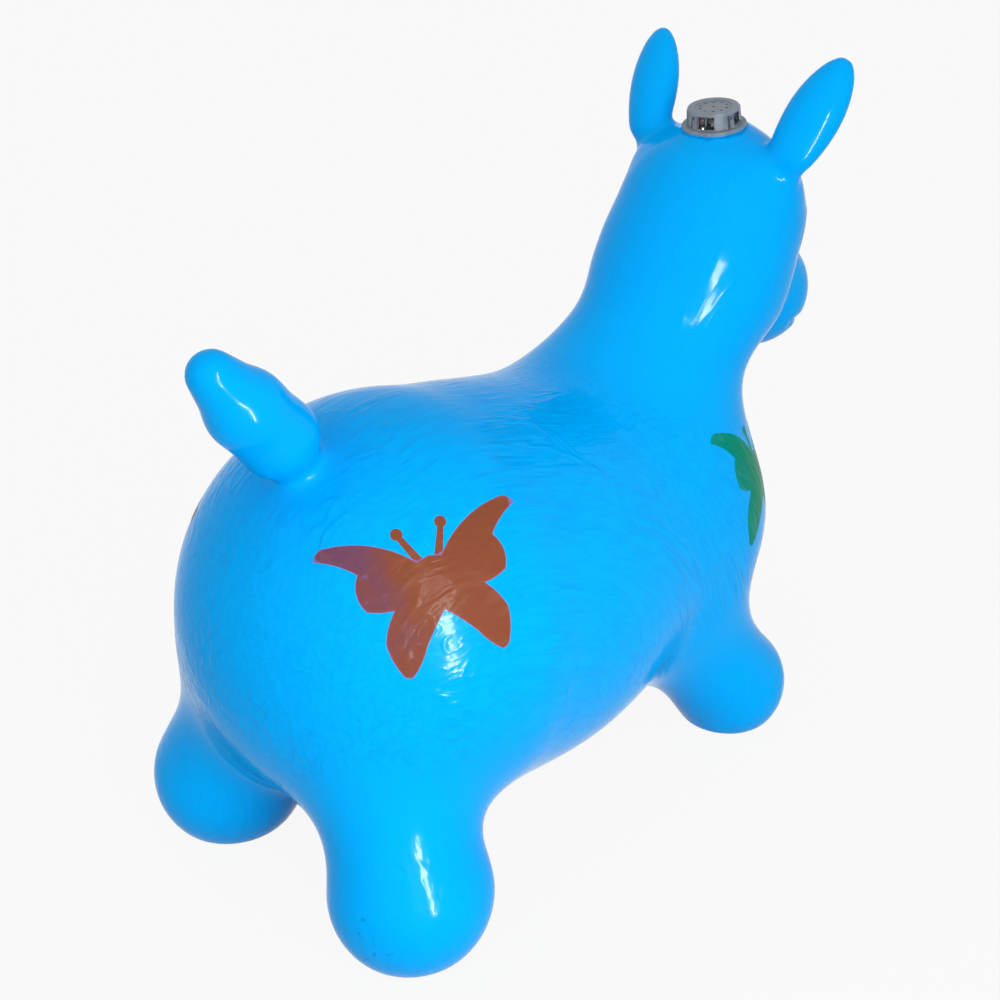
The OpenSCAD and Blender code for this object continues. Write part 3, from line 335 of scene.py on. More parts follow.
class Animal:
    """The donkey as a distance that is below 0 inside it, made of tapering limbs joined by fillets."""

    def __init__(self, scene):
        trunk, head, tail, ears = scene.hopper_trunk, scene.hopper_head, scene.hopper_tail, scene.hopper_ears
        self.trunk_sizes, self.head_sizes, self.tail_sizes, self.ear_sizes = trunk, head, tail, ears
        rump, barrel, chest = (np.array(v) for v in (trunk.rump, trunk.barrel, trunk.chest))
        self.trunk = [(rump, trunk.rump_radius), (barrel, trunk.barrel_radius), (chest, trunk.chest_radius)]
        self.hind_leg = [
            (rump + trunk.hip, trunk.hip_radius),
            (np.array(trunk.hind_foot), trunk.hind_foot_radius),
        ]
        self.front_leg = [
            (chest + trunk.shoulder, trunk.shoulder_radius),
            (np.array(trunk.front_foot), trunk.front_foot_radius),
        ]
        neck_root = chest + head.neck_root
        self.neck_axis = np.array([0, -math.cos(head.neck_rise), math.sin(head.neck_rise)])
        neck_top = neck_root + head.neck_length * self.neck_axis
        self.head = neck_top + head.head
        self.neck = [
            (neck_root, head.neck_root_radius),
            (neck_top, head.neck_top_radius),
            (self.head, head.head_radius),
        ]
        self.crown = [(self.head + head.brow, head.crown_radius), (self.head + head.crown, head.crown_radius)]
        self.nose = self.head + head.nose
        self.muzzle = [(self.head + head.muzzle, head.muzzle_radius), (self.nose, head.nose_radius)]
        self.set_ears(ears)
        root = rump + (trunk.rump_radius + tail.root_out) * self.rising(tail.root_angle)
        bulb = root + tail.length * self.rising(tail.rise)
        tip = bulb + tail.tip_length * self.rising(tail.tip_rise)
        self.tail = [(root, tail.root_radius), (bulb, tail.bulb_radius), (tip, tail.tip_radius)]
        self.seat_up = unit(JOINTS["module_pull"]["axis"])
        self.seat = self.head + head.seat

    @staticmethod
    def rising(angle):
        """A step to the back that rises by the angle."""
        return np.array([0, math.cos(angle), math.sin(angle)])

    def set_ears(self, ears):
        """An ear is a row of round limbs in a space that is stretched through its flat face. Its radius falls
        from the broadest stretch to foot and tip along two parabolas."""
        self.ear_foot = self.head + ears.foot
        self.ear_axis = unit([math.tan(ears.out), -math.tan(ears.forward), 1])
        face = np.array([math.cos(ears.face), math.sin(ears.face), 0])
        self.ear_face = unit(face - (face @ self.ear_axis) * self.ear_axis)
        self.ear_stretch = 1 / ears.flat - 1
        root = self.stretched((self.crown[1][0] + self.ear_foot) / 2)
        self.ear = [(root, ears.foot_radius)]
        for t in np.linspace(0, 1, EAR_STEPS):
            end, span = ears.tip_radius, 1 - ears.broad
            if t < ears.broad:
                end, span = ears.foot_radius, ears.broad
            fall = (ears.broad_radius - end) * ((t - ears.broad) / span) ** 2
            self.ear.append((self.ear_foot + t * ears.length * self.ear_axis, ears.broad_radius - fall))

    def stretched(self, points):
        """The points moved away from the ear's flat plane."""
        off = (points - self.ear_foot) @ self.ear_face
        return points + (off * self.ear_stretch)[..., None] * self.ear_face

    def parts(self, points):
        """Distances to the trunk, neck, muzzle, legs, ears and tail, each by itself."""
        head = self.head_sizes
        folded = np.concatenate([np.abs(points[..., :1]), points[..., 1:]], -1)
        neck = row(folded / [head.widen, 1, 1], self.neck, self.trunk_sizes.long_fillet)
        top = joined(neck, limb(folded, *self.crown), head.head_fillet)
        return {
            "trunk": row(folded, self.trunk, self.trunk_sizes.long_fillet),
            "neck": self.seated(folded, top),
            "muzzle": limb(folded, *self.muzzle),
            "hind": limb(folded, *self.hind_leg),
            "front": limb(folded, *self.front_leg),
            "ear": row(self.stretched(folded), self.ear, self.ear_sizes.row_fillet),
            "tail": row(folded, self.tail, self.tail_sizes.fillet),
        }

    def seated(self, points, top):
        """The head with the module's flat seat cut into it, and a low cone that rises to the flange."""
        head = self.head_sizes
        off = points - self.seat
        rise = off @ self.seat_up
        away = np.linalg.norm(off - rise[..., None] * self.seat_up, axis=-1) - head.collar_radius
        over = rise - head.collar_height
        cone = np.maximum(away * math.sin(head.collar_slope) + over * math.cos(head.collar_slope), over)
        cone = np.maximum(cone, -rise - head.collar_depth)
        return joined(trimmed(top, rise, head.seat_fillet), cone, head.collar_fillet)

    def distance(self, points):
        """Distance to the whole animal, its soles pressed flat on the floor."""
        part, trunk, head = self.parts(points), self.trunk_sizes, self.head_sizes
        found = joined(part["trunk"], part["neck"], head.neck_fillet)
        found = joined(found, part["muzzle"], head.head_fillet)
        found = joined(found, part["hind"], trunk.leg_fillet)
        found = joined(found, part["front"], trunk.leg_fillet)
        found = joined(found, part["ear"], self.ear_sizes.fillet)
        found = joined(found, part["tail"], self.tail_sizes.root_fillet) + self.dents(points)
        return trimmed(found, -points[..., 2] - trunk.sole_trim, trunk.sole_fillet)

    def dents(self, points):
        """Depth of the nostrils and the mouth: bells exp(-(d / width)^2) about two points of the nose, and
        about a line round its front that rises towards its corners."""
        head = self.head_sizes
        off = points - self.nose
        off = np.concatenate([np.abs(off[..., :1]), off[..., 1:]], -1)
        near = ((off - head.nostril) ** 2).sum(-1) / head.nostril_radius ** 2
        curl = head.mouth_curl * (off[..., 0] / head.nose_radius) ** 2
        line = (off[..., 2] + head.mouth_drop - curl) / head.mouth_width
        front = smooth_step(-off[..., 1], *MOUTH_FRONT)
        return head.nostril_depth * np.exp(-near) + head.mouth_depth * np.exp(-line * line) * front

    def slope(self, points, step=0.4 * MM):
        """Gradient of the distance by central differences."""
        return np.stack(
            [self.distance(points + d) - self.distance(points - d) for d in np.eye(3) * step], -1
        ) / (2 * step)

    def settled(self, points, steps=3):
        """The points moved along the gradient until they lie on the surface."""
        for _ in range(steps):
            slope = self.slope(points)
            points = points - self.distance(points)[:, None] * slope / (slope * slope).sum(-1, keepdims=True)
        return points

    def normals(self, points):
        """The gradient at length 1."""
        slope = self.slope(points)
        return slope / np.linalg.norm(slope, axis=-1, keepdims=True)

    def thrown(self, points, way, steps=60, stride=0.8):
        """The points carried along one way until they meet the surface, by steps of most of the distance."""
        for _ in range(steps):
            points = points + stride * self.distance(points)[:, None] * way
        return points


# Meshes

def net(values, axes):
    """Surface net of a grid of distances: one point in each cell that changes sign, at the mean of the places
    where its edges cross 0, and one quad round each edge that changes sign."""
    inside = values < 0
    cells = np.array(inside.shape) - 1
    corners = np.stack(np.meshgrid([0, 1], [0, 1], [0, 1], indexing="ij"), -1).reshape(-1, 3)
    count = sum(inside[a:cells[0] + a, b:cells[1] + b, c:cells[2] + c].astype(int) for a, b, c in corners)
    active = (count > 0) & (count < 8)
    number = -np.ones(active.shape, int)
    number[active] = np.arange(active.sum())
    cell = np.argwhere(active)
    grid = np.stack(np.meshgrid(*axes, indexing="ij"), -1)
    total, hits = np.zeros(cell.shape), np.zeros((len(cell), 1))
    quads = []
    for axis in range(3):
        step = np.eye(3, dtype=int)[axis]
        for start in corners[corners[:, axis] == 0]:
            a, b = tuple((cell + start).T), tuple((cell + start + step).T)
            crossed = inside[a] != inside[b]
            t = np.where(crossed, values[a] / np.where(crossed, values[a] - values[b], 1), 0)[:, None]
            total += np.where(crossed[:, None], grid[a] + (grid[b] - grid[a]) * t, 0)
            hits += crossed[:, None]
        u, v = np.eye(3, dtype=int)[(axis + 1) % 3], np.eye(3, dtype=int)[(axis + 2) % 3]
        low = inside[tuple(slice(0, cells[k]) if k == axis else slice(1, cells[k]) for k in range(3))]
        high = inside[tuple(slice(1, cells[k] + 1) if k == axis else slice(1, cells[k]) for k in range(3))]
        edge = np.argwhere(low != high) + 1 - step
        ring = np.stack([number[tuple((edge + way).T)] for way in (-u - v, -v, 0 * u, -u)], 1)
        outward = inside[tuple(edge.T)]
        quads.append(np.where(outward[:, None], ring, ring[:, ::-1]))
    return total / hits, np.concatenate(quads)


def edges_of(quads):
    """The two ends of each quad's four edges, edge by edge."""
    return np.concatenate([quads[:, [0, 1]], quads[:, [1, 2]], quads[:, [2, 3]], quads[:, [3, 0]]])


def relaxed(animal, points, quads, rounds=3):
    """The net evened out: each point moves half-way to its neighbours' mean, then back to the surface."""
    ends = edges_of(quads)
    for _ in range(rounds):
        total, count = np.zeros(points.shape), np.zeros(len(points))
        np.add.at(total, ends[:, 0], points[ends[:, 1]])
        np.add.at(count, ends[:, 0], 1)
        points = animal.settled((points + total / count[:, None]) / 2, 1)
    return animal.settled(points, 2)


def opened(animal, points, quads, middle, axis, radius, reach):
    """The net with a round hole about an axis: faces inside the circle go, the points round them move onto it
    and along the axis to the surface, and that rim comes back as point numbers in order of angle."""
    axis = unit(axis)
    side = unit(np.cross(axis, [0, 1, 0]))
    other = np.cross(axis, side)
    off = points - middle
    near = np.abs(off @ axis) < reach
    distance, angle = np.hypot(off @ side, off @ other), np.arctan2(off @ other, off @ side)
    gone = near & (distance < radius)
    quads = quads[~gone[quads].any(1)]
    edges = edges_of(quads)
    key = np.sort(edges, 1)
    _, first, count = np.unique(key, axis=0, return_index=True, return_counts=True)
    rim = np.unique(edges[first[count == 1]])
    rim = rim[near[rim] & (distance[rim] < radius + reach)]
    rim = rim[np.argsort(angle[rim])]
    circle = np.cos(angle[rim])[:, None] * side + np.sin(angle[rim])[:, None] * other
    points = points.copy()
    points[rim] = animal.thrown(middle + radius * circle + reach * axis, -axis)
    return points, quads, rim


def pocket(points, quads, rim, axis, depth):
    """A wall down from a hole's rim and a floor across it: the net is closed behind what fills the hole."""
    axis = unit(axis)
    deep = points[rim] - depth * axis
    start = len(points)
    ring = np.arange(start, start + len(rim))
    points = np.concatenate([points, deep, deep.mean(0, keepdims=True)])
    wall = np.stack([rim, np.roll(rim, -1), np.roll(ring, -1), ring], 1)
    middle = np.full(len(rim), len(points) - 1)
    floor = np.stack([ring, np.roll(ring, -1), middle], 1)
    return points, np.concatenate([quads, wall]), floor


def new_piece(name, points, faces, material, body):
    """A smooth mesh object at the origin that rides on a body."""
    mesh = bpy.data.meshes.new(name)
    used = [f for group in faces for f in group.tolist()]
    mesh.from_pydata(points.tolist(), [], used)
    mesh.validate()
    mesh.shade_smooth()
    mesh.materials.append(material)
    piece = bpy.data.objects.new(name, mesh)
    bpy.context.scene.collection.objects.link(piece)
    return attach(piece, body)


def set_values(piece, name, values):
    """Values of the piece's points under a name that its material reads."""
    values = np.asarray(values, np.float32)
    kind, field = ("FLOAT_VECTOR", "vector") if values.ndim == 2 else ("FLOAT", "value")
    layer = piece.data.attributes.new(name, kind, "POINT")
    layer.data.foreach_set(field, values.ravel())


# Middle of the strokes' turn in y and z, its radius, and the stretches over which strokes come and go.
STROKE_MIDDLE = np.array([185, 50]) * MM
STROKE_TURN = 200 * MM
SWIRL_SPAN = (50 * MM, 120 * MM)
LIMB_SPAN = (-20 * MM, 30 * MM)
BARE_SPAN = (2 * MM, 26 * MM)
MUZZLE_OFF = 8 * MM
LIMB_CALM = 0.6


def comb(animal, piece, points):
    """Coordinates of the embossed hair: two across the strokes and one along them. On the trunk strokes run
    round a point low in the barrel; on legs, neck and tail they run along the limb. They fade near that point,
    where trunk and limb meet, and towards ears, tail and muzzle."""
    y, z = points[:, 1] - STROKE_MIDDLE[0], points[:, 2] - STROKE_MIDDLE[1]
    radius = np.hypot(y, z)
    trunk = np.stack([radius, points[:, 0], np.arctan2(y, z) * STROKE_TURN], -1)
    part = animal.parts(points)
    legs = np.minimum(part["hind"], part["front"])
    on_neck = part["neck"] < np.minimum(legs, part["tail"])
    across = np.array([0, animal.neck_axis[2], -animal.neck_axis[1]])
    neck = np.stack([points[:, 0], points @ across, points @ animal.neck_axis], -1)
    others = np.minimum(np.minimum(legs, part["neck"]), part["tail"])
    set_values(piece, "trunk_hair", trunk)
    set_values(piece, "limb_hair", np.where(on_neck[:, None], neck, points))
    limb_share = smooth_step(part["trunk"] - others, *LIMB_SPAN)
    set_values(piece, "limb_share", limb_share)
    smooth_parts = np.minimum(np.minimum(part["ear"], part["tail"]), part["muzzle"] + MUZZLE_OFF)
    bare = 1 - smooth_step(smooth_parts, *BARE_SPAN)
    swirl = 1 - smooth_step(radius, *SWIRL_SPAN)
    between = 4 * limb_share * (1 - limb_share)
    depth = 1 - np.maximum(bare, swirl * (1 - limb_share))
    set_values(piece, "hair_depth", depth * (1 - between) * (1 - LIMB_CALM * limb_share))


# Materials

def fed(tree, node, inputs):
    """The node with its inputs set to values or linked to sockets."""
    for key, value in inputs.items():
        if isinstance(value, bpy.types.NodeSocket):
            tree.links.new(value, node.inputs[key])
        else:
            node.inputs[key].default_value = value
    return node


def add(tree, kind, inputs=None, **settings):
    """A new shader node with its settings and inputs."""
    made = tree.nodes.new("ShaderNode" + kind)
    for key, value in settings.items():
        setattr(made, key, value)
    return fed(tree, made, inputs or {})


def ranged(tree, value, low, high, to_low=0.0, to_high=1.0):
    """A value eased from one range to another."""
    return add(
        tree, "MapRange", {0: value, 1: low, 2: high, 3: to_low, 4: to_high}, interpolation_type="SMOOTHSTEP"
    ).outputs[0]


def worked(tree, operation, a, b=0.0):
    """One step of arithmetic."""
    return add(tree, "Math", {0: a, 1: b}, operation=operation).outputs[0]


def mixed(tree, factor, a, b):
    """Two colours mixed."""
    return add(tree, "Mix", {0: factor, 6: a, 7: b}, data_type="RGBA").outputs[2]


def noise(tree, vector, scale, detail=2.0, roughness=0.5):
    """Soft noise of about one bump per 1 / scale metres."""
    return add(
        tree, "TexNoise", {"Vector": vector, "Scale": scale, "Detail": detail, "Roughness": roughness}
    ).outputs[0]


def rgba(colour):
    """A colour with its alpha."""
    return (*colour, 1.0)


def group_of(name, inputs, outputs):
    """An empty shader node group with float, vector or colour sockets, and its two end nodes."""
    tree = bpy.data.node_groups.new(name, "ShaderNodeTree")
    for label, kind in inputs:
        tree.interface.new_socket(label, in_out="INPUT", socket_type="NodeSocket" + kind)
    for label, kind in outputs:
        tree.interface.new_socket(label, in_out="OUTPUT", socket_type="NodeSocket" + kind)
    return tree, tree.nodes.new("NodeGroupInput"), tree.nodes.new("NodeGroupOutput")


# How far strokes wander and how often, their patches, and the fineness and end level of both ridges.
WANDER = (7 * MM, 7 * MM, 0.0)
WANDER_SCALE = 22.0
PATCH_SCALE = 26.0
PATCH_LEVELS = (0.4, 0.62)
RIDGE, FINE_RIDGE = (1.0, 0.11), (2.3, 0.12)


def hair_group():
    """Embossed hair: thin ridges where noise drawn out along the strokes crosses its middle level, in patches,
    once for the trunk and once for the limbs. A ridge has a fineness and a level at which it ends."""
    name = "embossed_hair"
    if name in bpy.data.node_groups:
        return bpy.data.node_groups[name]
    skin = bpy.context.scene.hopper_skin
    tree, given, result = group_of(
        name,
        [("Trunk", "Vector"), ("Limb", "Vector"), ("Limb share", "Float"), ("Depth", "Float")],
        [("Height", "Float"), ("Fine", "Float")],
    )
    thin, long = 1 / skin.stroke_gap, 1 / skin.stroke_length
    heights, fines = [], []
    for label in ("Trunk", "Limb"):
        wander = noise(tree, given.outputs[label], WANDER_SCALE, 1.0)
        bend = add(tree, "VectorMath", {0: WANDER, "Scale": wander}, operation="SCALE").outputs[0]
        bent = add(tree, "VectorMath", {0: given.outputs[label], 1: bend}, operation="ADD").outputs[0]
        for found, (finer, sharp) in ((heights, RIDGE), (fines, FINE_RIDGE)):
            scale = (finer * thin, finer * thin, finer * long)
            drawn = add(tree, "Mapping", {"Vector": bent, "Scale": scale}).outputs[0]
            level = worked(tree, "SUBTRACT", noise(tree, drawn, 1.0, 1.0, 0.4), 0.5)
            found.append(ranged(tree, worked(tree, "ABSOLUTE", level), 0.0, sharp, 1.0, 0.0))
        patchy = ranged(tree, noise(tree, given.outputs[label], PATCH_SCALE, 1.0), *PATCH_LEVELS)
        heights[-1] = worked(tree, "MULTIPLY", heights[-1], patchy)
    for label, (a, b) in (("Height", heights), ("Fine", fines)):
        both = add(
            tree, "Mix", {0: given.outputs["Limb share"], 2: a, 3: b}, data_type="FLOAT"
        ).outputs[0]
        tree.links.new(worked(tree, "MULTIPLY", both, given.outputs["Depth"]), result.inputs[label])
    return tree


def blotch_group():
    """Uneven tone of a moulding: broad clouds and small specks, as two masks."""
    name = "moulding_blotches"
    if name in bpy.data.node_groups:
        return bpy.data.node_groups[name]
    tree, given, result = group_of(
        name, [("Vector", "Vector"), ("Cloud scale", "Float"), ("Speck scale", "Float")],
        [("Clouds", "Float"), ("Specks", "Float")],
    )
    clouds = noise(tree, given.outputs["Vector"], given.outputs["Cloud scale"], 3.0)
    specks = noise(tree, given.outputs["Vector"], given.outputs["Speck scale"], 2.0)
    tree.links.new(ranged(tree, clouds, 0.35, 0.65), result.inputs["Clouds"])
    tree.links.new(ranged(tree, specks, 0.6, 0.75), result.inputs["Specks"])
    return tree


def placed_group(tree, group, inputs):
    """A node group placed in a material."""
    made = tree.nodes.new("ShaderNodeGroup")
    made.node_tree = group
    return fed(tree, made, inputs)


def finish(name, **values):
    """A material with a Principled shader, and constant values on its sockets."""
    material = bpy.data.materials.new(name)
    material.use_nodes = True
    shader = material.node_tree.nodes["Principled BSDF"]
    for label, value in values.items():
        shader.inputs[label.replace("_", " ")].default_value = value
    return material, material.node_tree, shader


def read(tree, name):
    """An attribute of the piece: its vector and its value."""
    node = add(tree, "Attribute", attribute_name=name)
    return node.outputs["Vector"], node.outputs["Fac"]


def combed(tree):
    """The embossed hair, read from the piece's own coordinates."""
    return placed_group(tree, hair_group(), {
        "Trunk": read(tree, "trunk_hair")[0], "Limb": read(tree, "limb_hair")[0],
        "Limb share": read(tree, "limb_share")[1], "Depth": read(tree, "hair_depth")[1],
    })


def bumped(tree, shader, height, distance):
    """A bump of that depth in metres on the shader's normal."""
    made = add(tree, "Bump", {"Height": height, "Distance": distance})
    tree.links.new(made.outputs[0], shader.inputs["Normal"])


def scaled(tree, value, factor):
    """A value times a number or another value."""
    return worked(tree, "MULTIPLY", value, factor)


def skin_finish():
    """Glossy blue PVC with embossed hair whose strokes get painted shade in the colour, a soft unevenness, a flank
    fold and scuffed feet.
    """
    fold_off, fold_width, fold_height = 3 * MM, 1.8 * MM, 0.5
    fine_height, fine_painted_shade, ridge_painted_shade, cloud_tone = 0.2, 0.4, 0.15, 0.1
    skin = bpy.context.scene.hopper_skin
    material, tree, shader = finish("sky_blue_skin", Specular_IOR_Level=skin.gloss)
    where = add(tree, "TexCoord").outputs["Object"]
    hair = combed(tree)
    tone = placed_group(tree, blotch_group(), {"Vector": where, "Cloud scale": 9.0, "Speck scale": 160.0})
    beside = worked(tree, "ABSOLUTE", worked(tree, "SUBTRACT", read(tree, "fold_distance")[1], fold_off))
    crease = ranged(tree, beside, 0.0, fold_width, fold_height, 0.0)
    fine = scaled(tree, hair.outputs["Fine"], fine_height)
    height = worked(tree, "ADD", worked(tree, "ADD", hair.outputs["Height"], fine), crease)
    bumped(tree, shader, height, skin.stroke_depth)
    # Painted shade: the colour goes darker along the embossed ridges, standing in for how light falls on them.
    fine_stroke_shade = scaled(tree, hair.outputs["Fine"], fine_painted_shade)
    strokes = worked(tree, "ADD", fine_stroke_shade, scaled(tree, hair.outputs["Height"], ridge_painted_shade))
    colour = mixed(tree, strokes, rgba(skin.colour), rgba(skin.shade))
    clouded = mixed(tree, scaled(tree, tone.outputs["Clouds"], cloud_tone), colour, rgba(skin.shade))
    scuffed = scaled(tree, read(tree, "scuffs")[1], tone.outputs["Specks"])
    worn = mixed(tree, scuffed, clouded, rgba(skin.scuff))
    tree.links.new(worn, shader.inputs["Base Color"])
    rough = ranged(tree, tone.outputs["Clouds"], 0.0, 1.0, 0.11, 0.15)
    tree.links.new(rough, shader.inputs["Roughness"])
    return material


def print_finish(name, colour, faded, edge):
    """Ink film over the embossed hair: it goes over to another tone towards one side, with a painted highlight of
    lighter ink along the raised strokes, small chips and a thin edge of one more tone."""
    uneven, wear_from, wear_to = 0.3, -0.7, -0.1
    lighter, paler = 1.35, 0.06
    fine_share, painted_highlight_share, chip_share = 0.25, 0.16, 0.35
    rim_width, rim_share, relief = 0.8 * MM, 0.5, 1.3
    scene = bpy.context.scene
    material, tree, shader = finish(name, Specular_IOR_Level=scene.hopper_prints.gloss)
    where = add(tree, "TexCoord").outputs["Object"]
    hair = combed(tree)
    tone = placed_group(tree, blotch_group(), {"Vector": where, "Cloud scale": 30.0, "Speck scale": 190.0})
    side = worked(tree, "ADD", read(tree, "print_side")[1], scaled(tree, tone.outputs["Clouds"], uneven))
    wear = ranged(tree, side, wear_from, wear_to, 1.0, 0.0)
    worn = mixed(tree, wear, rgba(colour), rgba(faded))
    # Painted highlight: a lighter, paler tone of the ink laid along the raised ridges, where light would catch
    # them.
    light = [min(v * lighter + paler, 1.0) for v in colour]
    lines = worked(tree, "ADD", hair.outputs["Height"], scaled(tree, hair.outputs["Fine"], fine_share))
    highlighted_ink = mixed(tree, scaled(tree, lines, painted_highlight_share), worn, rgba(light))
    rim = ranged(tree, read(tree, "rim_distance")[1], 0.0, rim_width, rim_share, 0.0)
    chips = scaled(tree, tone.outputs["Specks"], scaled(tree, wear, chip_share))
    edged = mixed(tree, worked(tree, "MAXIMUM", rim, chips), highlighted_ink, rgba(edge))
    tree.links.new(edged, shader.inputs["Base Color"])
    bumped(tree, shader, lines, scene.hopper_skin.stroke_depth * relief)
    tree.links.new(ranged(tree, tone.outputs["Clouds"], 0.0, 1.0, 0.2, 0.28), shader.inputs["Roughness"])
    return material


def plain_finish(name, colour, roughness=0.4, metallic=0.0, grain=600.0, bump=0.00004, specular=0.5):
    """A moulded or metal finish: uneven tone, specks and a fine grain in the bump."""
    material, tree, shader = finish(name, Metallic=metallic, Specular_IOR_Level=specular)
    where = add(tree, "TexCoord").outputs["Object"]
    scales = {"Cloud scale": grain / 6, "Speck scale": grain}
    tone = placed_group(tree, blotch_group(), {"Vector": where, **scales})
    darker = [v * 0.8 for v in colour]
    lighter = [min(v * 1.15, 1.0) for v in colour]
    clouded = mixed(tree, tone.outputs["Clouds"], rgba(darker), rgba(colour))
    specked = mixed(tree, scaled(tree, tone.outputs["Specks"], 0.5), clouded, rgba(lighter))
    tree.links.new(specked, shader.inputs["Base Color"])
    rough = ranged(tree, tone.outputs["Clouds"], 0.0, 1.0, roughness * 0.85, min(roughness * 1.15, 1.0))
    tree.links.new(rough, shader.inputs["Roughness"])
    bumped(tree, shader, noise(tree, where, grain * 3, 2.0), bump)
    return material


# Prints

# Corners in millimetres: x and y, and the bulge of the arc to the next corner. A knob is x, y and radius.
BUTTERFLY = (
    (0, 16, 0), (7.5, 14, 0.2), (56, 38, 0.3), (63, 32, -0.12), (42, 17, 0.32), (43, -5, 0.1), (28, -9, 0.12),
    (38, -26, 0.1), (34, -44, 0.35), (28, -49, 0.1), (16, -35, -0.05), (0, -17, 0),
)
ANTENNA = ((2.2, 12), (7.4, 11), (15.0, 31), (11.8, 32.4))
KNOB = (13.6, 32.8, 3.6)


def arcs(corners, steps=8):
    """Points of an outline whose corners carry a bulge: each stretch is an arc whose height is half its chord
    times the bulge, to the left of the way along it."""
    found = []
    for (x0, y0, bulge), (x1, y1, _) in zip(corners[:-1], corners[1:]):
        t = np.linspace(0, 1, steps if bulge else 2)[:-1]
        chord = np.array([x1 - x0, y1 - y0])
        left = np.array([-chord[1], chord[0]])
        half = 2 * math.atan(bulge)
        if bulge:
            angle = (2 * t - 1) * half
            along = 0.5 + np.sin(angle) / (2 * math.sin(half))
            out = (np.cos(angle) - math.cos(half)) / (2 * math.sin(half))
        else:
            along, out = t, 0 * t
        found.append(np.array([x0, y0]) + along[:, None] * chord + out[:, None] * left)
    found.append(np.array([corners[-1][:2]], float))
    return np.concatenate(found)


def resampled(outline, step=2.5):
    """A closed outline with more points, at most a step apart along each edge."""
    ends = np.roll(outline, -1, 0)
    counts = np.ceil(np.linalg.norm(ends - outline, axis=1) / step).astype(int)
    start, end = np.repeat(outline, counts, 0), np.repeat(ends, counts, 0)
    number = np.arange(counts.sum()) - np.repeat(np.cumsum(counts) - counts, counts)
    return start + (end - start) * (number / np.repeat(counts, counts))[:, None]


def butterfly_outlines():
    """Closed outlines of a butterfly in metres: both wings as one, two antennae and their knobs."""
    right = arcs(BUTTERFLY)
    wings = np.concatenate([right, right[-2:0:-1] * [-1, 1]])
    circle = np.linspace(0, 2 * math.pi, 17)[:-1]
    knob = np.array(KNOB[:2]) + KNOB[2] * np.stack([np.cos(circle), np.sin(circle)], -1)
    stalk = np.array(ANTENNA)
    return [resampled(outline) * MM for outline in (wings, stalk, stalk * [-1, 1], knob, knob * [-1, 1])]


def oval(width, height, count=40):
    """A closed oval in metres."""
    angle = np.linspace(0, 2 * math.pi, count + 1)[:-1]
    return np.stack([width / 2 * np.cos(angle), height / 2 * np.sin(angle)], -1)


def inside_of(points, outline):
    """Even-odd test of points against a closed outline, for all pairs of points and edges at once."""
    a, b = outline, np.roll(outline, -1, 0)
    x, y = points[:, :1], points[:, 1:]
    spans = (a[:, 1] > y) != (b[:, 1] > y)
    rise = np.where(b[:, 1] == a[:, 1], 1, b[:, 1] - a[:, 1])
    return (spans & (x < a[:, 0] + (y - a[:, 1]) * (b[:, 0] - a[:, 0]) / rise)).sum(1) % 2 == 1


def away_from(points, outline):
    """Distance of each point from the nearest place of a closed outline."""
    edge = np.roll(outline, -1, 0) - outline
    t = ((points[:, None] - outline) * edge).sum(-1) / (edge * edge).sum(-1)
    foot = outline + np.clip(t, 0, 1)[..., None] * edge
    return np.linalg.norm(points[:, None] - foot, axis=-1).min(1)


def rim_of(points, outlines):
    """How deep each point lies in the shape: the greatest distance to an outline that holds it."""
    depth = np.zeros(len(points))
    for outline in outlines:
        depth = np.maximum(depth, np.where(inside_of(points, outline), away_from(points, outline), 0))
    return depth


def flat_patch(outlines, spacing):
    """Triangles that fill the outlines, with a grid of points inside them, and each point's distance from the
    first outline, so that thin feelers have no edge tone."""
    low, high = (f(np.concatenate(outlines), axis=0) for f in (np.min, np.max))
    grid = np.stack(np.meshgrid(*(np.arange(a, b, spacing) for a, b in zip(low, high)), indexing="ij"), -1)
    grid = grid.reshape(-1, 2)
    grid = grid[rim_of(grid, outlines) > 0.4 * spacing]
    starts = np.cumsum([0] + [len(outline) for outline in outlines])
    loops = [list(range(a, b)) for a, b in zip(starts[:-1], starts[1:])]
    corners = np.concatenate(outlines + [grid])
    points, _, faces, *_ = delaunay_2d_cdt([Vector(p) for p in corners.tolist()], [], loops, 1, 1e-7)
    points = np.array([p[:] for p in points])
    return points, np.array(faces), away_from(points, outlines[0])


# Height over the skin from which a film is thrown, and the angle at which its edge stays sharp.
THROW_FROM = 30 * MM
FILM_EDGE = math.radians(50)


def printed(animal, name, outlines, middle, facing, up, material, prints, lift=1.0):
    """A film in the given outlines, thrown onto the skin from a plane that faces it."""
    facing = unit(facing)
    up = unit(np.asarray(up) - (np.asarray(up) @ facing) * facing)
    across = np.cross(up, facing)
    flat, faces, rim = flat_patch(outlines, prints.spacing)
    start = np.asarray(middle) + flat[:, :1] * across + flat[:, 1:] * up + THROW_FROM * facing
    points = animal.settled(animal.thrown(start, -facing), 2)
    normals = animal.normals(points)
    piece = new_piece(name, points + lift * prints.lift * normals, [faces], material, "animal")
    comb(animal, piece, points)
    set_values(piece, "rim_distance", rim)
    set_values(piece, "print_side", flat[:, 0] / np.abs(flat[:, 0]).max())
    solid = piece.modifiers.new("film", "SOLIDIFY")
    solid.thickness = prints.film
    solid.offset = -1
    edge = piece.modifiers.new("film_edge", "EDGE_SPLIT")
    edge.split_angle = FILM_EDGE
    return piece


SIDES = (("left", 1), ("right", -1))


def mirrored(vector, side):
    """A vector of the left side, or its mirror image on the right."""
    return np.array(vector) * [side, 1, 1]


# Operators

# Distance along a hole's axis within which it cuts the skin.
HOLE_REACH = 5 * MM
